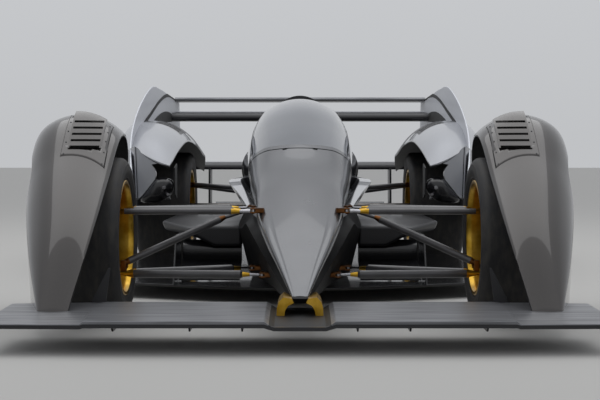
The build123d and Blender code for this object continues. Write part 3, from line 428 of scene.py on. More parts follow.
def bar(name, start, end, radius, end_radius=None, sides=48):
    """A round bar between two places in millimetres, tapered where an end radius is given."""
    low, high = Vector(start) * MM, Vector(end) * MM
    piece = started(
        name, bpy.ops.mesh.primitive_cone_add, vertices=sides, radius1=radius * MM,
        radius2=(radius if end_radius is None else end_radius) * MM, depth=(high - low).length,
        location=(low + high) / 2, rotation=(high - low).to_track_quat("Z", "Y").to_euler(),
    )
    bpy.ops.object.transform_apply(location=True, rotation=True, scale=True)
    return piece


def block(name, low, high):
    """A box between two opposite corners in millimetres."""
    piece = started(
        name, bpy.ops.mesh.primitive_cube_add, size=1, location=[(a + b) / 2 * MM for a, b in zip(low, high)],
        scale=[(b - a) * MM for a, b in zip(low, high)],
    )
    bpy.ops.object.transform_apply(location=True, rotation=True, scale=True)
    return piece


def eased(piece, width, segments=2, angle=30):
    """Rounds a piece's sharp edges by a width in millimetres."""
    modify(
        piece, "BEVEL", width=width * MM, segments=segments, limit_method="ANGLE", angle_limit=radians(angle),
        use_clamp_overlap=True,
    )
    return piece


def joined(name, pieces):
    """Makes one mesh of several solids."""
    select_only(pieces[0])
    for piece in pieces:
        piece.select_set(True)
    bpy.ops.object.join()
    pieces[0].name = name
    return pieces[0]


def eased_node(node, width):
    """A copy of a solid's own mesh, merged and with its edges rounded, that stands in for it."""
    piece = copy_of(nodes[node], f"{node}_eased")
    with editing(piece):
        bpy.ops.mesh.remove_doubles(threshold=MERGE_DISTANCE)
        bpy.ops.mesh.dissolve_limited(angle_limit=radians(1))
    return eased(piece, width)


def prism(name, corners, depth):
    """A flat face with its corners in millimetres, drawn out by depth, a vector in millimetres."""
    piece = started(name, bpy.ops.mesh.primitive_circle_add, vertices=len(corners), radius=1, fill_type="NGON")
    place_corners(piece, corners)
    with editing(piece):
        bpy.ops.mesh.extrude_region_move(TRANSFORM_OT_translate={"value": [v * MM for v in depth]})
        tidy_mesh()
    return piece


def side_prism(name, outline, low_x, high_x):
    """A closed solid of a side outline of y and z, from one x to another, in millimetres."""
    return prism(name, [(low_x, y, z) for y, z in outline], (high_x - low_x, 0, 0))


def modify(piece, kind, **settings):
    """Adds a modifier with its settings and applies it."""
    select_only(piece)
    modifier = piece.modifiers.new(kind.lower(), kind)
    for name, value in settings.items():
        setattr(modifier, name, value)
    bpy.ops.object.modifier_apply(modifier=modifier.name)


def combine(piece, other, operation):
    """Joins a solid with another, which stays, or crosses or cuts it with the other."""
    modify(piece, "BOOLEAN", object=other, operation=operation, solver="EXACT")


def cut(piece, *cutters):
    for cutter in cutters:
        combine(piece, cutter, "DIFFERENCE")


def copy_of(piece, name):
    twin = piece.copy()
    twin.data = piece.data.copy()
    twin.name = name
    bpy.context.scene.collection.objects.link(twin)
    return twin


def mirrored(piece, name):
    """The other side's copy of a piece."""
    twin = copy_of(piece, name)
    for vertex in twin.data.vertices:
        vertex.co.x = -vertex.co.x
    twin.data.flip_normals()
    return twin


# What is there before the first piece, and then each finished one: all the rest are cutters
shown = list(bpy.data.objects)


def finish_piece(piece, slot, replaced=(), crease=32, look=None, body="chassis"):
    """Smooths a piece up to its creases and gives it its body and material: its slot's own or another look."""
    select_only(piece)
    bpy.ops.object.shade_smooth_by_angle(angle=radians(crease))
    modify(piece, "WEIGHTED_NORMAL", keep_sharp=True)
    piece.data.materials.clear()
    piece.data.materials.append(MATERIALS[look or slot])
    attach(piece, body)
    if replaced:
        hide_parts(*replaced)
    shown.append(piece)


def finish_pair(piece, *finish, **finishes):
    """Finishes a left piece and its mirrored twin on the right."""
    other = mirrored(piece, piece.name.replace("left", "right"))
    finish_piece(piece, *finish, **finishes)
    finish_piece(other, *finish, **finishes)


# Hull, canopy and tub, cut from one form as the real panels are, in millimetres
# columns: y, keel x z, waist x z, groove x z, side x z, crease x z, top z
HULL = [
    (-2480, 20, 146, 26, 154, 24, 160, 29, 166, 20, 171, 173),
    (-2230, 46, 136, 74, 190, 62, 232, 79, 258, 54, 262, 268),
    (-1980, 82, 130, 140, 272, 112, 305, 136, 335, 92, 355, 364),
    (-1730, 112, 130, 202, 352, 162, 370, 176, 400, 118, 444, 458),
    (-1480, 152, 128, 236, 380, 182, 420, 193, 466, 142, 526, 552),
    (-1230, 200, 126, 264, 350, 204, 450, 206, 540, 148, 610, 640),
    (-980, 238, 125, 290, 335, 222, 476, 226, 615, 155, 715, 746),
    (-730, 252, 125, 302, 342, 230, 495, 250, 662, 170, 806, 848),
    (-480, 258, 125, 308, 348, 235, 514, 268, 690, 182, 882, 938),
    (-230, 260, 125, 310, 350, 238, 520, 274, 700, 187, 918, 985),
    (20, 260, 125, 310, 350, 238, 520, 268, 700, 182, 912, 985),
]
HULL_BACK_Y = HULL[-1][0]
CAVITY_FIRST_ROW = 4
COCKPIT_WALL = 22
CANOPY_WALL = 10
HINGE_Y = -1130
HINGE_Z = 625
HINGE_PIN_R = 8
HINGE_BOSS_R = 15
LUG_X = 50
LUG_THICK = 12
NECK_X = 66
NECK_THICK = 10
LUG = [(-15, 0), (15, 0), (15, 46), (-15, 34)]
NECK = [(0, -15), (114, -64), (156, -36), (158, 22), (120, 97), (104, 91), (130, 15), (112, -42), (0, 12)]
PARTING = [(-2600, 125), (-2480, 163), (-2172, 267), (-2035, 310), (-1748, 386), (-1490, 450), (-1064, 490),
           (HULL_BACK_Y + 5, 515)]
SEAM = [(-1062, 716), (-640, 592), (-85, 560)]
GAP = 6
FRAME_BAND = 26
BULKHEAD_Y = -1350
SEAT_BACK_Y = -90
COCKPIT_FLOOR_Z = 165
HULL_STEPS = 10
# Cutters reach this far across the car and upwards
CUT_HALF = 400
CUT_TOP_Z = 1100


def hull_ring(row, wall=0):
    """One cross-section of the hull, or of its inside where a wall is given."""
    y, keel_x, keel_z, waist_x, waist_z, groove_x, groove_z, side_x, side_z, crease_x, crease_z, top = row
    crease = (crease_x - 0.7 * wall, crease_z - 0.7 * wall)
    flank = arc((groove_x - wall, groove_z), (side_x - wall, side_z), crease, 12)
    crown = arc(crease, (0, top - wall), (-crease[0], crease[1]), 21)
    right = [(keel_x - wall, keel_z + wall), (waist_x - wall, waist_z)] + flank
    return right + crown[1:-1] + [(-x, z) for x, z in reversed(right)]


def hull_solid(name, first_row=0, wall=0):
    return through(name, rows_between(HULL, HULL_STEPS)[first_row * HULL_STEPS:], hull_ring, wall)


def canopy_room(name, lift, back):
    """The room over the seam, lifted from it and drawn in from its rear edge."""
    front, (rear_y, rear_z) = SEAM[0], SEAM[-1]
    lifted = [(y, z + lift) for y, z in SEAM[:-1]] + [(rear_y - back, rear_z + lift)]
    outline = [(front[0] - 60, front[1] + lift)] + lifted
    outline += [(rear_y + 150 - back, CUT_TOP_Z), (front[0] - 60, CUT_TOP_Z)]
    return side_prism(name, outline, -CUT_HALF, CUT_HALF)


def cross_pin(name, x0, x1, y, z, radius):
    """A round bar across the car."""
    return bar(name, (x0, y, z), (x1, y, z), radius, sides=64)


def add_hinge(shell, rim):
    """Lugs under the nose with the pin's hole, and the canopy's necks with their pins."""
    for side in (1, -1):
        lug_x = sorted((side * LUG_X, side * (LUG_X + LUG_THICK)))
        neck_x = sorted((side * NECK_X, side * (NECK_X + NECK_THICK)))
        notch_x = sorted((side * (NECK_X - GAP), side * (NECK_X + NECK_THICK + GAP)))
        notch = side_prism("notch", [
            (HINGE_Y + 74, 670), (HINGE_Y + 144, 670), (HINGE_Y + 144, 730), (HINGE_Y + 74, 730),
        ], *notch_x)
        cut(shell, notch)
        lug = side_prism("lug", [(HINGE_Y + y, HINGE_Z + z) for y, z in LUG], *lug_x)
        boss = cross_pin("boss", *lug_x, HINGE_Y, HINGE_Z, HINGE_BOSS_R)
        hole = cross_pin("hole", lug_x[0] - 2, lug_x[1] + 2, HINGE_Y, HINGE_Z, HINGE_PIN_R + 0.5)
        combine(lug, boss, "UNION")
        cut(lug, hole)
        combine(shell, lug, "UNION")
        neck = side_prism("neck", [(HINGE_Y + y, HINGE_Z + z) for y, z in NECK], *neck_x)
        neck_boss = cross_pin("neck_boss", *neck_x, HINGE_Y, HINGE_Z, HINGE_BOSS_R)
        pin = cross_pin("pin", side * (LUG_X - 4), side * (NECK_X + 1), HINGE_Y, HINGE_Z, HINGE_PIN_R)
        combine(neck, neck_boss, "UNION")
        combine(neck, pin, "UNION")
        combine(rim, neck, "UNION")


def make_hull():
    hull = hull_solid("body_shell_skin")
    cavity = hull_solid("cavity", CAVITY_FIRST_ROW, COCKPIT_WALL)
    limits = side_prism("limits", [
        (BULKHEAD_Y, COCKPIT_FLOOR_Z), (SEAT_BACK_Y - 60, COCKPIT_FLOOR_Z), (SEAT_BACK_Y, 700),
        (SEAT_BACK_Y, CUT_TOP_Z), (BULKHEAD_Y, CUT_TOP_Z),
    ], -CUT_HALF, CUT_HALF)
    combine(cavity, limits, "INTERSECT")
    upper = side_prism("upper", PARTING + [(HULL_BACK_Y + 5, 1200), (PARTING[0][0], 1200)], -CUT_HALF, CUT_HALF)
    tub = copy_of(hull, "monocoque_skin")
    cut(tub, upper, cavity)
    finish_piece(tub, "gloss_carbon", ["monocoque"], 24, "tub_carbon")

    canopy = copy_of(hull, "canopy")
    room = canopy_room("room", GAP, GAP)
    inside = hull_solid("inside", CAVITY_FIRST_ROW, CANOPY_WALL)
    combine(canopy, room, "INTERSECT")
    cut(canopy, inside)
    above_band = canopy_room("above_band", GAP + FRAME_BAND, GAP + FRAME_BAND)
    glass = copy_of(canopy, "canopy_bubble")
    combine(glass, above_band, "INTERSECT")
    finish_piece(glass, "tinted_glass", ["canopy_glass"], body="canopy")
    band = copy_of(canopy, "canopy_rim")
    cut(band, above_band)

    opening = canopy_room("opening", 0, 0)
    combine(hull, upper, "INTERSECT")
    cut(hull, opening, cavity)
    add_hinge(hull, band)
    # The canopy frame and hull take the silver lacquer darkened as painted shade.
    finish_piece(band, "silver_paint", ["canopy_frame"], look="painted_shade_silver", body="canopy")
    finish_piece(hull, "silver_paint", ["body_shell"], 24, "painted_shade_silver")


# Front fenders, in millimetres
# columns: y, bottom z, inner x z, crown x z, shoulder x z, outer x z, outer foot x
FENDER = [
    (-2570, 104, 822, 110, 872, 118, 912, 114, 921, 110, 919),
    (-2292, 104, 776, 385, 890, 420, 965, 395, 1012, 300, 1000),
    (-2014, 108, 756, 585, 890, 655, 1020, 620, 1076, 480, 1060),
    (-1736, 150, 744, 762, 890, 842, 1045, 805, 1100, 705, 1086),
    (-1458, 160, 752, 715, 890, 780, 1035, 740, 1095, 640, 1080),
    (-1180, 190, 800, 430, 900, 480, 1000, 455, 1060, 390, 1050),
]
FENDER_STEPS = 14
FENDER_ARCH_R = 362
ARCH_INNER_X = 1000
ARCH_OUTER_X = 1200
FENDER_WALL = 14
SKIN_WALL = 9
ROUNDING = 0.12
LOUVRE_FRONT_Y = -1990
LOUVRE_BACK_Y = -1750
LOUVRE_INNER_X = 798
LOUVRE_OUTER_X = 926
LOUVRE_RISE = 22
LOUVRE_LOW_Z = 708
LOUVRE_STEP = 26
LOUVRE_GAP = 9
LOUVRE_GAPS = 5
LINE_WIDTH = 3
LINE_DEPTH = 2.5
SCREWS = 5
SCREW_PITCH = 56
SCREW_R = 4


def rounded(start, end):
    """The middle of a shallow arc from start to end, swelling to the left of the way there."""
    run_x, run_z = end[0] - start[0], end[1] - start[1]
    return ((start[0] + end[0]) / 2 - ROUNDING * run_z, (start[1] + end[1]) / 2 + ROUNDING * run_x)


def fender_ring(row, wall=0):
    """One cross-section of a fender or pod, or of the room inside it."""
    y, low, inner_x, inner_z, crown_x, crown_z, shoulder_x, shoulder_z, outer_x, outer_z, foot_x = row
    reach = 60 if wall else 0
    crown = arc(
        (inner_x, inner_z - wall), (crown_x, crown_z - wall), (shoulder_x - 0.7 * wall, shoulder_z - 0.7 * wall), 17
    )
    edge = (outer_x - wall, outer_z)
    flank = arc(crown[-1], rounded(crown[-1], edge), edge, 9)[1:]
    start = [(inner_x - reach, low - reach), (inner_x - reach, inner_z - wall)]
    return start[:1 + (wall > 0)] + crown + flank + [(foot_x - wall, low - reach)]


def wheel_arch(name, axle, radius):
    """A round cutter through the outer wall, open downwards."""
    y, z = axle
    cutter = started(
        name, bpy.ops.mesh.primitive_cylinder_add, vertices=128, radius=radius * MM,
        depth=(ARCH_OUTER_X - ARCH_INNER_X) * MM, rotation=(0, pi / 2, 0),
        location=((ARCH_INNER_X + ARCH_OUTER_X) / 2 * MM, y * MM, z * MM),
    )
    below = side_prism("below", [
        (y - radius, z), (y + radius, z), (y + radius, z - 400), (y - radius, z - 400),
    ], ARCH_INNER_X, ARCH_OUTER_X)
    combine(cutter, below, "UNION")
    return cutter


def shell_of(name, rows):
    """The painted skin of a table's sections, and the dark carbon lining under it."""
    skin = through(name, rows, fender_ring)
    lining = copy_of(skin, name.replace("skin", "lining"))
    for wall in (SKIN_WALL, FENDER_WALL):
        room = through("room", rows, fender_ring, wall)
        stretch_ends(room, rows[0][0], rows[-1][0])
        if wall == SKIN_WALL:
            cut(skin, room)
            combine(lining, room, "INTERSECT")
        else:
            cut(lining, room)
    return skin, lining


def lowered_ring(row, drop):
    return [(x, z - drop) for x, z in fender_ring(row)]


def scored(skin, rows, low, high):
    """Cuts a shallow panel line into a skin, round a plan rectangle between two places of x and y."""
    frame_wall = block("frame_wall", (*low, 400), (*high, CUT_TOP_Z))
    inside = block("inside", (low[0] + LINE_WIDTH, low[1] + LINE_WIDTH, 390),
                   (high[0] - LINE_WIDTH, high[1] - LINE_WIDTH, CUT_TOP_Z + 10))
    core = through("core", rows, lowered_ring, LINE_DEPTH)
    cut(frame_wall, inside, core)
    cut(skin, frame_wall)


def screw_heads(name, skin, places, radius):
    """Low domed screw heads on a skin, each set down from above at its x and y."""
    heads = []
    for x, y in places:
        _, place, normal, _ = skin.ray_cast((x * MM, y * MM, 2), (0, 0, -1))
        heads.append(bar("head", place / MM - normal, place / MM + normal * 1.8, radius, radius * 0.7, 12))
    return joined(name, heads)


def stretch_ends(piece, front_y, back_y):
    """Moves a cutter's ends a little outwards, so that it cuts right through."""
    for vertex in piece.data.vertices:
        if abs(vertex.co.y - front_y * MM) < 1e-5:
            vertex.co.y -= 0.002
        if abs(vertex.co.y - back_y * MM) < 1e-5:
            vertex.co.y += 0.002


def vent_ring(row):
    """A fender's cross-section, raised more and more from the vent's front to its back."""
    share = (row[0] - LOUVRE_FRONT_Y) / (LOUVRE_BACK_Y - LOUVRE_FRONT_Y)
    return lowered_ring(row, -LOUVRE_RISE * min(1, max(0.25, share)))


def make_louvres(rows):
    """A raised vent block over the wheel, cut by level gaps between its slats."""
    vent = through("fender_vent_left", rows, vent_ring)
    plan = block("plan", (LOUVRE_INNER_X, LOUVRE_FRONT_Y, LOUVRE_LOW_Z), (LOUVRE_OUTER_X, LOUVRE_BACK_Y, 1000))
    room = through("room", rows, fender_ring, FENDER_WALL)
    combine(vent, plan, "INTERSECT")
    cut(vent, room)
    for number in range(LOUVRE_GAPS):
        low = LOUVRE_LOW_Z + number * LOUVRE_STEP
        gap = block("gap", (LOUVRE_INNER_X + 7, LOUVRE_FRONT_Y - 20, low),
                    (LOUVRE_OUTER_X - 7, LOUVRE_BACK_Y - 4, low + LOUVRE_GAP))
        cut(vent, gap)
    return vent


def make_front_fenders():
    rows = rows_between(FENDER, FENDER_STEPS)
    skin, lining = shell_of("fender_left_skin", rows)
    arch = wheel_arch("arch", FRONT_AXLE, FENDER_ARCH_R)
    window = block("window", (LOUVRE_INNER_X, LOUVRE_FRONT_Y, LOUVRE_LOW_Z),
                   (LOUVRE_OUTER_X, LOUVRE_BACK_Y, CUT_TOP_Z))
    scored(skin, rows, (LOUVRE_INNER_X - 24, LOUVRE_FRONT_Y + 2), (LOUVRE_OUTER_X + 24, LOUVRE_BACK_Y + 30))
    screws = screw_heads("fender_screws_left", skin, [
        (x, LOUVRE_FRONT_Y + 14 + i * SCREW_PITCH) for i in range(SCREWS)
        for x in (LOUVRE_INNER_X - 12, LOUVRE_OUTER_X + 12)
    ], SCREW_R)
    for part in (skin, lining):
        cut(part, arch, window)
    finish_pair(skin, "fender_paint", ["front_fenders"], 60)
    finish_pair(lining, "gloss_carbon", ["front_fenders"], look="bare_carbon")
    finish_pair(screws, "satin_carbon")
    finish_pair(make_louvres(rows), "fender_paint", ["fender_louvres"])


# Rear pods, in millimetres, with the fenders' columns
POD = [
    (0, 450, 722, 629, 800, 657, 880, 700, 920, 735, 908),
    (350, 330, 703, 725, 820, 808, 985, 782, 1045, 690, 1035),
    (700, 230, 684, 780, 850, 885, 1012, 874, 1086, 770, 1076),
    (1050, 205, 660, 760, 825, 888, 1015, 905, 1096, 800, 1088),
    (1400, 200, 646, 705, 795, 868, 1015, 912, 1098, 800, 1090),
    (1750, 230, 655, 680, 800, 800, 1000, 840, 1085, 740, 1076),
    (2100, 420, 690, 590, 820, 650, 960, 655, 1030, 580, 1020),
]
POD_STEPS = 12
POD_ARCH_R = 385
POD_WALL = 16
POD_MOUTH = [(680, 548), (680, 618), (722, 625), (786, 640), (822, 634), (806, 612), (797, 590), (797, 572), (804, 553)]
# The dark duct under the intake, by its outline of x and z
DUCT = [(914, 418), (860, 480), (806, 548), (790, 562), (750, 566), (712, 556), (700, 520), (706, 480), (740, 436),
        (800, 416)]
DUCT_CENTRE = (790, 486)
# columns: y, share of the full outline
DUCT_SWELL = [(-34, 0.3), (-30, 0.55), (-20, 0.78), (-4, 0.93), (20, 1.0), (150, 1.0)]
VENT_X = (718, 872)
VENT_FRONT_Y = 640
VENT_BACK_Y = 1010
FLANK_X = (560, 826)
POD_SLOTS = 5
SLOT_X = (735, 860)
SLOT_FRONT_Y = 690
SLOT_PITCH = 62
SLOT_WIDTH = 24


def pod_cutter():
    """A pod's whole form, in coarser steps, to cut its neighbours with."""
    return through("pod", rows_between(POD, POD_STEPS // 2), fender_ring)


def make_duct():
    """The glossy carbon duct under the intake, swelling forwards, with its two unions."""
    centre_x, centre_z = DUCT_CENTRE
    duct = wrapped("pod_duct_left", [
        [(centre_x + swell * (x - centre_x), y, centre_z + swell * (z - centre_z)) for x, z in DUCT]
        for y, swell in DUCT_SWELL
    ])
    modify(duct, "SUBSURF", levels=2, render_levels=2)
    unions = joined("pod_unions_left", [
        bar("union", (748, -46, 508), (748, 0, 508), 11, sides=6), bar("union", (748, -58, 508), (748, -44, 508), 7),
        bar("union", (728, -34, 470), (728, 10, 470), 8, sides=6),
    ])
    finish_pair(duct, "gloss_carbon", ["rear_pods"], 60)
    finish_pair(unions, "gold_metal", look="bare_steel")


def make_rear_pods():
    rows = rows_between(POD, POD_STEPS)
    skin, lining = shell_of("pod_left_skin", rows)
    arch = wheel_arch("arch", REAR_AXLE, POD_ARCH_R)
    for part in (skin, lining):
        cut(part, arch)
        for number in range(POD_SLOTS):
            middle = SLOT_FRONT_Y + number * SLOT_PITCH
            slot = block("slot", (SLOT_X[0], middle - SLOT_WIDTH / 2, 700), (SLOT_X[1], middle + SLOT_WIDTH / 2, 1000))
            cut(part, slot)
    face = through("face", [row for row in rows if row[0] <= 2 * POD_WALL], fender_ring)
    mouth = lofted("mouth", [-20, 2 * POD_WALL + 20], [POD_MOUTH, POD_MOUTH])
    below = lofted("below", [-20, 2 * POD_WALL + 20], [DUCT, DUCT])
    cut(face, mouth, below)
    combine(skin, face, "UNION")
    cut(skin, mouth, below)
    vent = copy_of(skin, "pod_vent_left")
    vent_zone = block("vent_zone", (VENT_X[0], VENT_FRONT_Y, 600), (VENT_X[1], VENT_BACK_Y, 1000))
    flank = copy_of(skin, "pod_flank_left")
    flank_zone = block("flank_zone", (FLANK_X[0], VENT_BACK_Y, 300), (FLANK_X[1], POD[-1][0] + 10, 1000))
    for dark, zone in ((vent, vent_zone), (flank, flank_zone)):
        combine(dark, zone, "INTERSECT")
        cut(skin, zone)
        finish_pair(dark, "gloss_carbon", ["rear_pods"], look="satin_carbon")
    wall = eased(side_prism("pod_wall_left", [(26, 470), (150, 440), (150, 640), (26, 616)], 694, 702), 2)
    finish_pair(wall, "gloss_carbon", ["rear_pods"], look="bare_carbon")
    finish_pair(skin, "silver_paint", ["rear_pods"])
    finish_pair(lining, "gloss_carbon", ["rear_pods"], look="bare_carbon")
    make_duct()


# Engine cover, in millimetres
# columns: y, foot x z, side x z, crease x z, top z
COVER = [
    (40, 250, 432, 262, 700, 178, 900, 965),
    (680, 228, 396, 225, 600, 130, 745, 785),
    (1320, 165, 348, 150, 455, 80, 555, 578),
    (1960, 90, 336, 80, 390, 45, 430, 440),
]
COVER_STEPS = 20
MOUTH_DEPTH = 150
MOUTH_Z = 880


def cover_ring(row):
    y, foot_x, foot_z, side_x, side_z, crease_x, crease_z, top = row
    flank = arc((foot_x, foot_z), (side_x, side_z), (crease_x, crease_z), 12)
    crown = arc((crease_x, crease_z), (0, top), (-crease_x, crease_z), 17)
    return flank + crown[1:-1] + [(-x, z) for x, z in reversed(flank)]


def make_engine_cover():
    cover = through("engine_cover_skin", rows_between(COVER, COVER_STEPS), cover_ring)
    mouth_ring = [(110 * cos(pi * i / 24), MOUTH_Z + 60 * sin(pi * i / 24)) for i in range(48)]
    mouth = lofted("mouth", [COVER[0][0] - 20, COVER[0][0] + MOUTH_DEPTH], [mouth_ring, mouth_ring])
    cut(cover, mouth)
    finish_piece(cover, "silver_paint", ["engine_cover"])
    make_hoop(cover)


# Roll hoop, in millimetres
HOOP_FRONT_Y = 30
HOOP_LENGTH = 70
HOOP_HALF = 150
HOOP_TOP = 1016
HOOP_SPRING_Z = 890
HOOP_FOOT_Z = 800
HOOP_WALL = 18


def make_hoop(cover):
    """A bow of carbon tube round the intake's mouth."""
    bows = []
    for inset in (0, HOOP_WALL):
        half = HOOP_HALF - inset
        bow = arc((half, HOOP_SPRING_Z), (0, HOOP_TOP - inset), (-half, HOOP_SPRING_Z), 49)
        outline = [(half, HOOP_FOOT_Z + inset)] + bow + [(-half, HOOP_FOOT_Z + inset)]
        front = HOOP_FRONT_Y - (10 if inset else 0)
        bows.append(prism("bow", [(x, front, z) for x, z in outline], (0, HOOP_LENGTH + 2 * (HOOP_FRONT_Y - front), 0)))
    hoop, opening = bows
    cut(hoop, opening, cover)
    eased(hoop, 5, 3, 40)
    hoop.name = "roll_hoop_bow"
    finish_piece(hoop, "satin_carbon", ["roll_hoop"])


# Rear fins, in millimetres
# columns: y, low x z, high x z
FIN = [
    (-300, 872, 436, 880, 452),
    (130, 925, 470, 949, 750),
    (560, 945, 560, 963, 955),
    (990, 922, 700, 936, 1115),
    (1420, 916, 780, 927, 1130),
    (1850, 914, 620, 926, 1121),
    (2280, 914, 540, 926, 1112),
    (2710, 914, 640, 926, 1102),
]
FIN_STEPS = 10
FIN_ROOM_R = 400
FIN_THICK = 20


def fin_ring(row):
    """One upright cross-section of a fin, with its top edge rounded."""
    y, low_x, low_z, high_x, high_z = row
    top = arc(
        (high_x + FIN_THICK / 2, high_z - 4), (high_x + FIN_THICK / 4, high_z), (high_x, high_z - 4), 7
    )
    return [(low_x, low_z), (low_x + FIN_THICK, low_z)] + top


def make_rear_fins():
    fin = through("fin_left_skin", rows_between(FIN, FIN_STEPS), fin_ring)
    wheel_room = bar("wheel_room", (860, *REAR_AXLE), (1010, *REAR_AXLE), FIN_ROOM_R, sides=160)
    pod = pod_cutter()
    cut(fin, wheel_room, pod)
    bare = copy_of(fin, "bare")
    # The fins take the silver lacquer lightened as a painted highlight.
    finish_pair(fin, "silver_paint", ["rear_fins"], look="fin_paint")
    make_fin_strips(bare)


# Dark strips that run from the wing's ends forwards on the fins' inner faces, by arcs of y and z
# columns: name, top edge's start, middle and end, bottom edge's start, middle and end
FIN_STRIPS = [
    ("upper", (2400, 1128), (1210, 1031), (716, 894), (2400, 1094), (1249, 1019), (745, 880)),
    ("lower", (2060, 990), (1379, 967), (960, 895), (2060, 932), (1599, 914), (1150, 890)),
]
STRIP_RISE = 4


def make_fin_strips(fin):
    for name, *ends in FIN_STRIPS:
        outline = arc(*ends[:3], 25) + list(reversed(arc(*ends[3:], 25)))
        band = side_prism("band", outline, 600, 1100)
        strip = copy_of(fin, f"fin_strip_{name}_left")
        for vertex in strip.data.vertices:
            vertex.co.x -= STRIP_RISE * MM
        combine(strip, band, "INTERSECT")
        cut(strip, fin)
        finish_pair(strip, "satin_carbon", look="bare_carbon")


# Wheels, in millimetres
# columns: name, axle, tyre radius, wheel x, tyre width, bead inset, hub x
WHEELS = [
    ("front", FRONT_AXLE, 335, 862, 292, 16, 885),
    ("rear", REAR_AXLE, 355, 880, 350, 18, 905),
]
RIM_R = 228
STUB_R = 25
DISC_R = 165
DISC_THICK = 28
HALF_SHAFT_X = 180
HALF_SHAFT_R = 21
SPOKES = 10
BOLT_CIRCLE_R = 66
VANES = 36


def tyre_profile(half, bead, radius):
    """A slick's section: soft shoulders, a bulging side with two moulded ribs, and the bead."""
    side = rows_between([
        (0, radius), (half - 56, radius - 0.8), (half - 24, radius - 4), (half - 9, radius - 16),
        (half - 2, radius - 34), (half, radius - 56), (half - 5, RIM_R + 30), (bead + 5, RIM_R + 13),
    ], 5)
    ribs = []
    for x, r in side:
        near_rib = abs(r - (radius - 30)) < 2 or abs(r - (RIM_R + 22)) < 2
        ribs.append((x + 1.5 * near_rib, r))
    return ribs + [(bead - 3, RIM_R + 8)]


def make_tyre(place, axle, radius, wheel_x, width, bead):
    half = tyre_profile(width / 2, bead, radius)
    ring = half + [(-x, r) for x, r in reversed(half[1:])]
    return revolved(f"{place}_left_slick", ring, axle, 144, wheel_x)


def make_rim(place, axle, wheel_x, bead, hub_x):
    half = [
        (0, 212), (46, 212), (66, RIM_R - 3), (bead - 8, RIM_R - 1), (bead - 3, RIM_R + 8), (bead + 2, RIM_R + 12),
        (bead + 6, RIM_R + 12), (bead + 8, RIM_R + 8), (bead + 7, RIM_R - 2), (bead - 2, RIM_R - 8),
        (bead - 16, RIM_R - 11), (72, RIM_R - 12), (54, 203), (0, 203),
    ]
    outer = [(-x, r) for x, r in reversed(half[1:7])] + half[:7]
    inner = half[7:] + [(-x, r) for x, r in reversed(half[7:-1])]
    barrel = revolved("barrel", outer + inner, axle, 144, wheel_x)
    hub = hub_x - wheel_x
    centre = revolved("centre", [
        (0, STUB_R + 1), (0, 84), (14, 84), (20, 78), (24, 62), (30, 56), (30, 44), (22, 41), (22, STUB_R + 1),
    ], axle, 96, hub_x)
    rings = []
    for r, half_width, front, thick in [
        (72, 19, hub + 26, 24), (96, 12, hub + 30, 22), (130, 9, hub + 45, 19), (165, 9, hub + 62, 18),
        (192, 11, bead - 26, 18), (210, 16, bead - 15, 18), (RIM_R - 7, 21, bead - 10, 20),
    ]:
        rings.append([
            (wheel_x + front - depth, axle[0] + share * half_width, axle[1] + r)
            for depth, share in ((0, -0.7), (0, 0.7), (5, 1), (thick, 1), (thick, -1), (5, -1))
        ])
    spoke = wrapped("spoke", rings)
    modify(spoke, "SUBSURF", levels=1, render_levels=1, subdivision_type="SIMPLE")
    eased(spoke, 2.5)
    repeated(spoke, axle, SPOKES)
    nut_x = hub_x + 22
    bolt = bar("bolt", (hub_x + 23, axle[0], axle[1] + BOLT_CIRCLE_R),
               (hub_x + 29, axle[0], axle[1] + BOLT_CIRCLE_R), 6, 5, 6)
    repeated(bolt, axle, 2 * SPOKES)
    return joined(f"{place}_left_gold_rim", [barrel, centre, spoke, bolt]), nut_x


def make_nut(axle, nut_x):
    """The centre-lock nut: six flats, a flange and a hollow end."""
    nut = revolved("nut", [
        (0, 8), (0, 40), (4, 40), (6, 37), (24, 35), (28, 32), (28, 22), (14, 20), (14, 8),
    ], axle, 6, nut_x)
    return eased(nut, 1.2)


def make_disc(place, axle, hub_x):
    """A vented brake disc: two drilled cheeks on vanes, with a bell, and the half shaft at the rear."""
    back = hub_x - DISC_THICK
    cheeks = [revolved("cheek", [
        (0, 100), (0, DISC_R - 1), (1, DISC_R), (9, DISC_R), (10, DISC_R - 1), (10, 100),
    ], axle, 120, x) for x in (back, hub_x - 10)]
    drill = joined("drill", [
        bar("drill", (back - 5, axle[0] + across, axle[1] + r), (hub_x + 5, axle[0] + across, axle[1] + r), 4, sides=12)
        for r, across in ((112, 0), (128, 14), (146, 28))
    ])
    repeated(drill, axle, VANES // 2)
    for cheek in cheeks:
        cut(cheek, drill)
    vane = block("vane", (back + 9, axle[0] - 2, axle[1] + 102), (hub_x - 9, axle[0] + 2, axle[1] + DISC_R - 4))
    repeated(vane, axle, VANES)
    bore = STUB_R + 1 if place == "front" else 4
    bell = revolved("bell", [
        (0, bore), (0, 92), (4, 96), (4, 106), (12, 106), (14, 98), (DISC_THICK, 92), (DISC_THICK, bore),
    ], axle, 96, back)
    solids = cheeks + [vane, bell]
    if place == "rear":
        solids.append(revolved("shaft", [
            (HALF_SHAFT_X, 2), (HALF_SHAFT_X, 30), (HALF_SHAFT_X + 26, 34), (HALF_SHAFT_X + 30, HALF_SHAFT_R - 3),
            (back - 90, HALF_SHAFT_R - 3), (back - 84, 34), (back - 52, 44), (back + 1, 44), (back + 1, 2),
        ], axle, 48))
    return joined(f"{place}_left_vented_disc", solids)


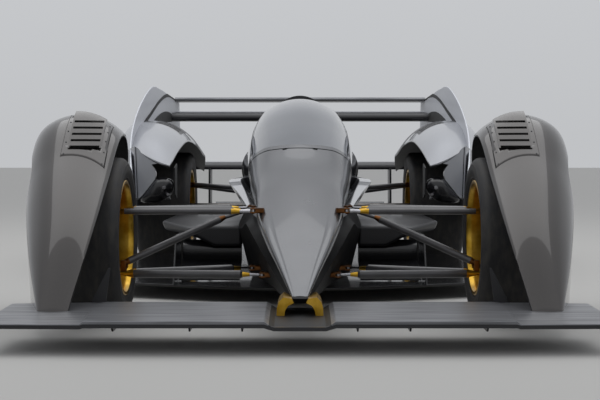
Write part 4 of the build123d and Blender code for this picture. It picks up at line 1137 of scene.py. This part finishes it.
def make_wheels():
    for place, axle, radius, wheel_x, width, bead_inset, hub_x in WHEELS:
        bead = width / 2 - bead_inset
        tyre = make_tyre(place, axle, radius, wheel_x, width, bead)
        rim, nut_x = make_rim(place, axle, wheel_x, bead, hub_x)
        nut = make_nut(axle, nut_x)
        nut.name = f"{place}_left_nut"
        disc = make_disc(place, axle, hub_x)
        iron = "brake_steel" if place == "front" else "rear_brake_steel"
        for piece, slot, node, look in (
            (tyre, "tyre_rubber", "tyre", None), (rim, "gold_metal", "rim", None),
            (nut, "gold_metal", None, "bare_steel"), (disc, "brake_steel", "disc", iron),
        ):
            other = mirrored(piece, piece.name.replace("left", "right"))
            for side, half in (("left", piece), ("right", other)):
                replaced = [f"{place}_{side}_{node}"] if node else []
                finish_piece(half, slot, replaced, 30, look, f"{place}_{side}_wheel")


# Front wing, in millimetres: an upper skin of five panels with a turned-up lip and a thin trailing edge
# columns: x, front y, lip bottom, lip top, back top
WING = [
    (0, -2750, 84, 92, 110),
    (88, -2750, 84, 92, 110),
    (122, -2750, 94, 116, 132),
    (732, -2750, 94, 116, 132),
    (744, -2746, 90, 106, 130),
    (1062, -2735, 90, 106, 130),
]
WING_BACK_Y = -2300
WING_CENTRE_HALF = 106
LIP_DEPTH = 12
LIP_RUN = 16


def make_front_wing():
    rings = []
    for x, front, low, high, back in WING:
        tail = WING_BACK_Y - (x > 1000) * 40
        rings.append([
            (x, front, low), (x, front, high), (x, front + 60, high + 3), (x, front + 180, back - 4),
            (x, tail, back), (x, tail, back - 9), (x, front + 190, low + 6),
        ])
    left = wrapped("wing_left", rings)
    right = mirrored(left, "wing_right")
    combine(left, right, "UNION")
    left.name = "front_wing_skin"
    eased(left, 2.5, 3, 20)
    centre = copy_of(left, "front_wing_centre")
    zone = block("zone", (-WING_CENTRE_HALF, -2800, 60), (WING_CENTRE_HALF, -2200, 200))
    combine(centre, zone, "INTERSECT")
    cut(left, zone)
    finish_piece(left, "satin_carbon", ["front_wing"], 25, "wing_satin")
    finish_piece(centre, "gloss_carbon", ["front_wing"], 25, "bare_carbon")
    lip = wrapped("front_wing_lip_left", [[
        (x, front - 1.5, low - 1), (x, front - 1.5, low + LIP_DEPTH), (x, front + LIP_RUN, low + LIP_DEPTH),
        (x, front + LIP_RUN, low - 1),
    ] for x, front, low, high, back in WING])
    finish_pair(lip, "satin_carbon", ["front_wing"])


# Horns that carry the nose on the wing, by the outline of x and z of the left one
HORN = [(22, 152), (30, 168), (60, 172), (75, 156), (82, 136), (84, 100), (57, 100), (52, 126), (43, 141)]
HORN_FRONT_Y = -2520
HORN_LENGTH = 190


def make_horns():
    horn = prism("nose_horn_left", [(x, HORN_FRONT_Y, z) for x, z in HORN], (0, HORN_LENGTH, 0))
    nose = hull_solid("nose")
    cut(horn, nose)
    eased(horn, 4, 3, 25)
    finish_pair(horn, "gold_metal", ["nose_pylons"])


# Front suspension, in millimetres
KINGPIN_X = 790
RACK_Y = -1800
UPPER_ARM_Z = 448
LOWER_ARM_Z = 185
SLIM_END_X = 715
# columns: leg's inner x and y, its bracket's outer x
UPPER_LEGS = [(150, FRONT_AXLE[0] + 10, 200), (190, FRONT_AXLE[0] + 330, 224)]
LOWER_LEGS = [(80, FRONT_AXLE[0] - 60, 160), (120, FRONT_AXLE[0] + 330, 214)]
EYE_R = 20
EYE_THICK = 16
TUBE_R = 17
CLEVIS_HALF = 23
PIN_R = 8


def pin_eye(place, bore, radius, half):
    """A ring round an upright pin at a place, half its thickness each way, with 2 mm broken edges."""
    x, y, z = place
    return spun("eye", [(x + r, y, z + up) for r, up in [
        (bore, -half), (radius - 2, -half), (radius, 2 - half), (radius, half - 2), (radius - 2, half), (bore, half),
    ]], place, (0, 0, 1), 48)


def make_arms():
    """Wishbones of dark tube with gold tapered ends, in bronze clevises on the hull."""
    tubes, tips, clevises, steels = [], [], [], []
    for height, legs in ((UPPER_ARM_Z, UPPER_LEGS), (LOWER_ARM_Z, LOWER_LEGS)):
        tips.append(pin_eye((KINGPIN_X, FRONT_AXLE[0], height), PIN_R + 0.5, EYE_R, EYE_THICK / 2))
        for leg_x, leg_y, bracket_x in legs:
            slope = (leg_y - FRONT_AXLE[0]) / (KINGPIN_X - leg_x)

            def at(x):
                return (x, FRONT_AXLE[0] + slope * (KINGPIN_X - x), height)

            tips.append(bar("slim", at(KINGPIN_X - EYE_R + 4), at(SLIM_END_X + 18), EYE_THICK / 2))
            tips.append(bar("cone", at(SLIM_END_X + 20), at(SLIM_END_X - 22), EYE_THICK / 2, TUBE_R + 1))
            tubes.append(bar("tube", at(SLIM_END_X - 20), at(bracket_x + 86), TUBE_R))
            tubes.append(bar("tube end", at(bracket_x + 87), at(bracket_x + 78), TUBE_R, 12))
            tips.append(bar("cone", at(bracket_x + 84), at(bracket_x + 48), 12, 7.5))
            steels.append(bar("rod end", at(bracket_x + 50), at(bracket_x + 6), 6))
            hub_y = at(bracket_x)[1]
            front, back = hub_y - CLEVIS_HALF, hub_y + CLEVIS_HALF
            for low, high, reach in ((-11, -5, 8), (5, 11, 8), (-11, 11, -14)):
                cheek = block("cheek", (leg_x, front, height + low), (bracket_x + reach, back, height + high))
                clevises.append(eased(cheek, 2))
            bolt_x = bracket_x - 4
            clevises.append(bar("bolt", (bolt_x, hub_y, height - 15), (bolt_x, hub_y, height + 15), 7, sides=6))
            steels.append(bar("ball", (bolt_x, hub_y, height - 5), (bolt_x, hub_y, height + 5), 14))
    finish_pair(joined("arm_tubes_left", tubes), "dark_tube", ["front_arms"])
    finish_pair(joined("arm_tips_left", tips), "gold_metal", ["front_arms"])
    finish_pair(joined("arm_rod_ends_left", steels), "gold_metal", ["front_arms"], look="bare_steel")
    finish_pair(joined("clevises_left", clevises), "gold_metal", ["front_arms"], look="bronze")


def collared(name, start, end, radius, end_radius, collar):
    """A bar with a turned collar: the parts of it between two shares of its length."""
    low, high = collar
    a, b = Vector(start), Vector(end)
    return bar(name, a.lerp(b, low), a.lerp(b, high), radius, end_radius)


# Pushrods, track rods and rear arms: each bar's start and end, in millimetres
PUSHROD = ((740, -1700, 226), (330, -1560, 410))
PUSHROD_TIP = (215, -1522, 446)
TRACK_ROD = ((774, RACK_Y, UPPER_ARM_Z), (205, RACK_Y, UPPER_ARM_Z))
# columns: outer z, inner y, inner z
REAR_LEGS = [
    (500, REAR_AXLE[0] - 250, 460),
    (500, REAR_AXLE[0] + 300, 400),
    (215, REAR_AXLE[0] - 250, 215),
    (215, REAR_AXLE[0] + 300, 215),
]


def make_rods():
    """Pushrods, track rods and rear arms, with turned ends in their anodised colours."""
    foot = eased(block("pushrod_feet_left", (728, -1714, 193), (752, -1684, 239)), 4)
    foot_bolt = bar("foot_bolt", (722, -1699, 214), (758, -1699, 214), 8, sides=6)
    ends = joined("pushrod_ends_left", [
        foot, foot_bolt, collared("end", *PUSHROD, 10, 15, (0, 0.06)), collared("end", *PUSHROD, 15, 9, (0.96, 1.02)),
    ])
    rod = joined("pushrod_tubes_left", [
        collared("rod", *PUSHROD, 15, 15, (0.055, 0.965)), bar("tip", PUSHROD[1], PUSHROD_TIP, 8),
    ])
    finish_pair(ends, "gold_metal", ["front_pushrods"], look="bronze")
    finish_pair(rod, "dark_tube", ["front_pushrods"])

    rack = joined("track_rod_tubes_left", [collared("rod", *TRACK_ROD, 12, 12, (0.09, 0.866))])
    tips = joined("track_rod_tips_left", [pin_eye((KINGPIN_X, RACK_Y, UPPER_ARM_Z), 11, 18, 7)] + [
        collared("cone", *TRACK_ROD, *radii, collar) for *radii, collar in (
            (7, 7, (-0.002, 0.05)), (7, 12.5, (0.05, 0.092)), (12.5, 7.5, (0.864, 0.925)),
        )
    ])
    steel = joined("rack_ends_left", [collared("rack", *TRACK_ROD, 6.5, 6.5, (0.92, 1))])
    finish_pair(rack, "dark_tube", ["track_rods"], body="steering_rack")
    finish_pair(tips, "gold_metal", ["track_rods"], body="steering_rack")
    finish_pair(steel, "gold_metal", ["track_rods"], look="bare_steel", body="steering_rack")

    legs, collars = [], []
    for outer_z, inner_y, inner_z in REAR_LEGS:
        way = 12 if inner_y > REAR_AXLE[0] else -12
        leg = ((775, REAR_AXLE[0] + way, outer_z), (100, inner_y, inner_z))
        legs.append(collared("leg", *leg, 15, 15, (0.12, 1)))
        collars.append(collared("collar", *leg, 12, 16, (0, 0.05)))
        collars.append(collared("collar", *leg, 16, 16, (0.05, 0.125)))
    finish_pair(joined("rear_arm_tubes_left", legs), "dark_tube", ["rear_arms"])
    finish_pair(joined("rear_arm_ends_left", collars), "gold_metal", ["rear_arms"], look="bronze")


# Shoulders, ears and decks beside the hull, in millimetres
# columns: y, outer corner x z, top x z, valley x z, root x z, foot x z
SHOULDER = [
    (-1560, 212, 432, 206, 436, 188, 440, 150, 430, 180, 405),
    (-900, 300, 500, 262, 505, 225, 470, 180, 440, 262, 440),
    (-300, 379, 548, 313, 553, 256, 484, 180, 440, 300, 420),
    (200, 350, 560, 310, 566, 262, 500, 180, 440, 290, 430),
]
# columns: y, foot x z, side x z, top x z, root x z
EARS = [
    (-150, 268, 540, 278, 590, 268, 640, 255, 590),
    (-20, 262, 486, 321, 600, 292, 700, 250, 600),
    (150, 245, 500, 312, 600, 268, 690, 225, 600),
    (420, 232, 480, 256, 560, 228, 630, 205, 560),
]
# columns: y, root low, root top, crown x z, brow x z, chin x z, keel x
DECKS = [
    (-700, 230, 330, 480, 330, 560, 318, 545, 290, 430),
    (-460, 227, 356, 610, 356, 716, 345, 700, 300, 420),
    (780, 227, 356, 610, 356, 716, 345, 700, 300, 420),
]
DECK_ROOT_X = 290


def pairs(numbers):
    """Splits a flat row of numbers into points."""
    return [(numbers[i], numbers[i + 1]) for i in range(0, len(numbers), 2)]


def shoulder_ring(row):
    return pairs(row[1:])


def ear_ring(row):
    foot, side, top, root = pairs(row[1:])
    return arc(foot, side, top, 17) + [root]


def deck_ring(row):
    low, top = row[1:3]
    return [(DECK_ROOT_X, low), (DECK_ROOT_X, top)] + pairs(row[3:9]) + [(row[9], low)]


def make_flanks():
    """Shoulders and ears, smooth between their sections, and the decks with a rounded nose."""
    hull = hull_solid("hull")
    cover = through("cover", rows_between(COVER, COVER_STEPS), cover_ring)
    shoulder = through("shoulder_left_skin", rows_between(SHOULDER, 12), shoulder_ring)
    eased(shoulder, 5, 3, 20)
    ear = through("ear_left_skin", rows_between(EARS, 10), ear_ring)
    deck = through("deck_left_skin", DECKS, deck_ring)
    eased(deck, 24, 6, 25)
    pod = pod_cutter()
    for piece, cutters in ((shoulder, (hull, cover)), (ear, (hull, cover, shoulder)), (deck, (hull, pod))):
        cut(piece, *cutters)
    finish_pair(shoulder, "silver_paint", ["cockpit_shoulders"], 40)
    finish_pair(ear, "gloss_carbon", ["canopy_ears"], 50)
    finish_pair(deck, "gloss_carbon", ["side_decks"], 50, "satin_carbon")


# Rear wing, in millimetres
# columns: name, front y, back y, front z, back z, thickness, finish, its tail strip's finish, where pale silver is a
# painted highlight along the top edge
PLANES = [
    ("main_plane", 2060, 2330, 962, 984, 62, "satin_carbon", "fin_paint"),
    ("main_flap", 2312, 2425, 992, 1014, 15, "satin_carbon", "fin_paint"),
    ("upper_plane", 2400, 2746, 1110, 1114, 36, "wing_satin", "satin_carbon"),
    ("beam_wing", 2110, 2380, 605, 640, 40, "satin_carbon", "fin_paint"),
]
WING_HALF = 930
TAIL_THICK = 4


def aerofoil(front_y, back_y, front_z, back_z, thick):
    """A wing's section in y and z: a round nose, two long arcs and a thin tail."""
    nose = thick * 0.36
    crown = (front_y + 0.35 * (back_y - front_y), front_z + 0.3 * (back_z - front_z) + thick / 2)
    front = arc((front_y + 0.7 * nose, front_z + nose), (front_y, front_z), (front_y + 0.7 * nose, front_z - nose), 9)
    over = arc((back_y, back_z), crown, front[0], 16)
    under = arc(front[-1], (crown[0], crown[1] - thick), (back_y, back_z - TAIL_THICK), 16)
    return over + front[1:] + under[1:]


def make_rear_wing():
    """The planes, each with a raised strip along its tail; a pale silver strip is a painted highlight along the plane's
    top edge.
    """
    for name, *section, look, strip_look in PLANES:
        plane = side_prism(name, aerofoil(*section), -WING_HALF, WING_HALF)
        finish_piece(plane, "satin_carbon", ["rear_wing"], 40, look)
        _, back_y, _, back_z, _ = section
        half = WING_HALF - 4
        strip = block(f"{name}_strip", (-half, back_y - 7, back_z - 1), (half, back_y - 1, back_z + 6))
        # A strip in pale silver lacquer paints a highlight along the plane's top edge.
        finish_piece(eased(strip, 1), "satin_carbon", look=strip_look)


# Cockpit: the seat's shell and pads, the headrest, and the steering wheel's buttons
SEAT = [(-760, 172), (-330, 172), (-170, 640), (-215, 650), (-380, 235), (-740, 225)]
SEAT_HALF = 150
# columns: name, node, middle, way along, way out, width, length, thickness, sewn channels
PADS = [
    ("seat_base_pad", "seat", (0, -560, 236), (0, 1, 0.03), (0, -0.03, 1), 262, 330, 34, 3),
    ("seat_back_pad", "seat", (0, -300, 446), (0, 0.37, 0.929), (0, -0.929, 0.37), 262, 400, 34, 4),
    ("headrest_pad", "headrest", (0, -201, 760), (0, 0, 1), (0, -1, 0), 204, 184, 60, 0),
]


def signed_power(value, power):
    return abs(value) ** power * (1 if value >= 0 else -1)


def pad(name, middle, along, out, width, length, thick, channels):
    """A sewn cushion: crowned, drawn in between its corners, with channels sewn across it."""
    rings = []
    for i in range(61):
        v = -cos(pi * i / 60)
        fullness = max(0.12, (1 - v ** 8) ** 0.5)
        sunk = 0
        for number in range(channels):
            line = -1 + 2 * (number + 1) / (channels + 1)
            sunk = max(sunk, 1 - abs(v - line) / 0.06)
        ring = []
        for k in range(48):
            turn = 2 * pi * k / 48
            u = signed_power(cos(turn), 0.45) * width / 2 * (1 - 0.05 * (1 - v * v)) * (0.9 + 0.1 * fullness)
            crown = 0.8 + 0.2 * (1 - (2 * u / width) ** 2)
            rise = signed_power(sin(turn), 0.7) * thick / 2 * fullness * crown * (1 - 0.28 * sunk * (sin(turn) > 0))
            ring.append((middle[0] + u, middle[1] + along[1] * v * length / 2 + out[1] * rise,
                         middle[2] + along[2] * v * length / 2 + out[2] * rise))
        rings.append(ring)
    return wrapped(name, rings)


def make_seat():
    shell = eased(side_prism("seat_shell", SEAT, -SEAT_HALF, SEAT_HALF), 9, 4, 20)
    finish_piece(shell, "gloss_carbon", ["seat"])
    for name, node, *form in PADS:
        cushion = pad(name, *form)
        finish_piece(cushion, "seat_fabric", [node], 60)


COLUMN_Y = -640
COLUMN_Z = 640
COLUMN_TILT = radians(20)
# columns: x, distance up the wheel's face, radius
BUTTONS = [(-95, 62, 8), (95, 62, 8), (-48, 58, 6), (48, 58, 6), (-48, -58, 6), (48, -58, 6), (0, -58, 7)]


def make_wheel_face():
    """A display and buttons on the steering wheel's face."""
    def on_face(x, up, out):
        return (x, COLUMN_Y + cos(COLUMN_TILT) * (24 + out) - sin(COLUMN_TILT) * up,
                COLUMN_Z + sin(COLUMN_TILT) * (24 + out) + cos(COLUMN_TILT) * up)

    corners = [on_face(x, up, -2) for x, up in ((-58, -34), (58, -34), (58, 34), (-58, 34))]
    depth = Vector(on_face(0, 0, 6)) - Vector(on_face(0, 0, -2))
    screen = eased(prism("wheel_display", corners, depth), 2)
    finish_piece(screen, "gloss_carbon", body="steering_column")
    caps = joined("wheel_buttons", [
        bar("button", on_face(x, up, -2), on_face(x, up, 7), radius, radius * 0.85, 24) for x, up, radius in BUTTONS
    ])
    finish_piece(caps, "lamp_red", body="steering_column")


RIB_PLACES = range(760, 1960, 150)


def make_gearbox_ribs():
    """Upright ribs and bolts on the gearbox's sides."""
    ribs = [eased(block("rib", (126, y - 5, 188), (142, y + 5, 324)), 2) for y in RIB_PLACES]
    ribs += [bar("bolt", (128, y + 30, z), (140, y + 30, z), 8, sides=6) for y in RIB_PLACES for z in (210, 302)]
    finish_pair(joined("gearbox_ribs_left", ribs), "cast_metal")


# Solids whose own form stays, with their edges rounded
# columns: node, body, rounding
EASED = [
    ("gearbox", "chassis", 6), ("engine_block", "chassis", 5),
    ("rear_light", "chassis", 5), ("rear_uprights", "chassis", 4), ("dash", "chassis", 3),
    ("steering_wheel", "steering_column", 5), ("front_left_upright", "front_left_knuckle", 4),
    ("front_right_upright", "front_right_knuckle", 4), ("floor", "chassis", 2), ("wing_strakes", "chassis", 1),
]
PYLON_TOP_Z = 600


def ease_nodes():
    for node, body, width in EASED:
        finish_piece(eased_node(node, width), NODE_FINISHES[node], [node], body=body)
    pylons = eased_node("rear_pylons", 3)
    above = block("above", (-800, 1900, PYLON_TOP_Z), (800, 2400, 1200))
    cut(pylons, above)
    finish_piece(pylons, "satin_carbon", ["rear_pylons"])


# Panels that turn the air under the decks, by the front face's arcs of y and z, in millimetres
INLET_FACE = [((-560, 232), (-660, 196), (-640, 158)), ((-640, 158), (-760, 118), (-900, 78))]
INLET_THICK = 24
INLET_INNER_X = 292
INLET_OUTER_X = 588


def make_inlets():
    face = arc(*INLET_FACE[0], 15) + arc(*INLET_FACE[1], 15)[1:]
    outline = face + [(y + INLET_THICK, z) for y, z in reversed(face)]
    inlet = side_prism("inlet_panel_left", outline, INLET_INNER_X, INLET_OUTER_X)
    hull = hull_solid("hull")
    cut(inlet, hull)
    finish_pair(inlet, "gloss_carbon", crease=40)


make_hull()
make_front_fenders()
make_rear_pods()
make_engine_cover()
make_rear_fins()
make_wheels()
make_front_wing()
make_horns()
make_arms()
make_rods()
make_flanks()
make_rear_wing()
make_seat()
make_wheel_face()
make_gearbox_ribs()
make_inlets()
ease_nodes()
for cutter in [piece for piece in bpy.data.objects if piece not in shown]:
    bpy.data.objects.remove(cutter, do_unlink=True)


# Floor, lamps and world
def make_floor():
    bpy.ops.mesh.primitive_plane_add(size=200, location=(0, 0, 0))
    floor = bpy.context.object
    floor.name = "studio_floor"
    floor.data.materials.append(plain("pale floor", "#b3b2af", 0.8))


def make_lamp(name, place, aim, size, power):
    data = bpy.data.lights.new(name, "AREA")
    data.shape = "RECTANGLE"
    data.size, data.size_y = size
    data.energy = power
    lamp = bpy.data.objects.new(name, data)
    bpy.context.scene.collection.objects.link(lamp)
    lamp.location = place
    lamp.rotation_euler = (Vector(aim) - Vector(place)).to_track_quat("-Z", "Y").to_euler()


def make_world():
    """A soft studio sky: dimmer near the horizon than overhead, so that bright coats show their form."""
    world = bpy.data.worlds.new("studio")
    bpy.context.scene.world = world
    world.use_nodes = True
    place = add_node(world, "TexCoord")
    height = add_node(world, "SeparateXYZ", [("Vector", place.outputs["Generated"])])
    lay_on(world, (height.outputs["Z"], "#d4d6d9", "#f0f2f6", 0.02, 0.55))
    world.node_tree.nodes["Background"].inputs["Strength"].default_value = 0.8


bpy.ops.object.select_all(action="DESELECT")
make_floor()
make_lamp("sky panel", (0, 0.6, 6), (0, 0.6, 0), (8, 7), 190)
make_world()
bpy.context.scene.view_settings.view_transform = "Standard"
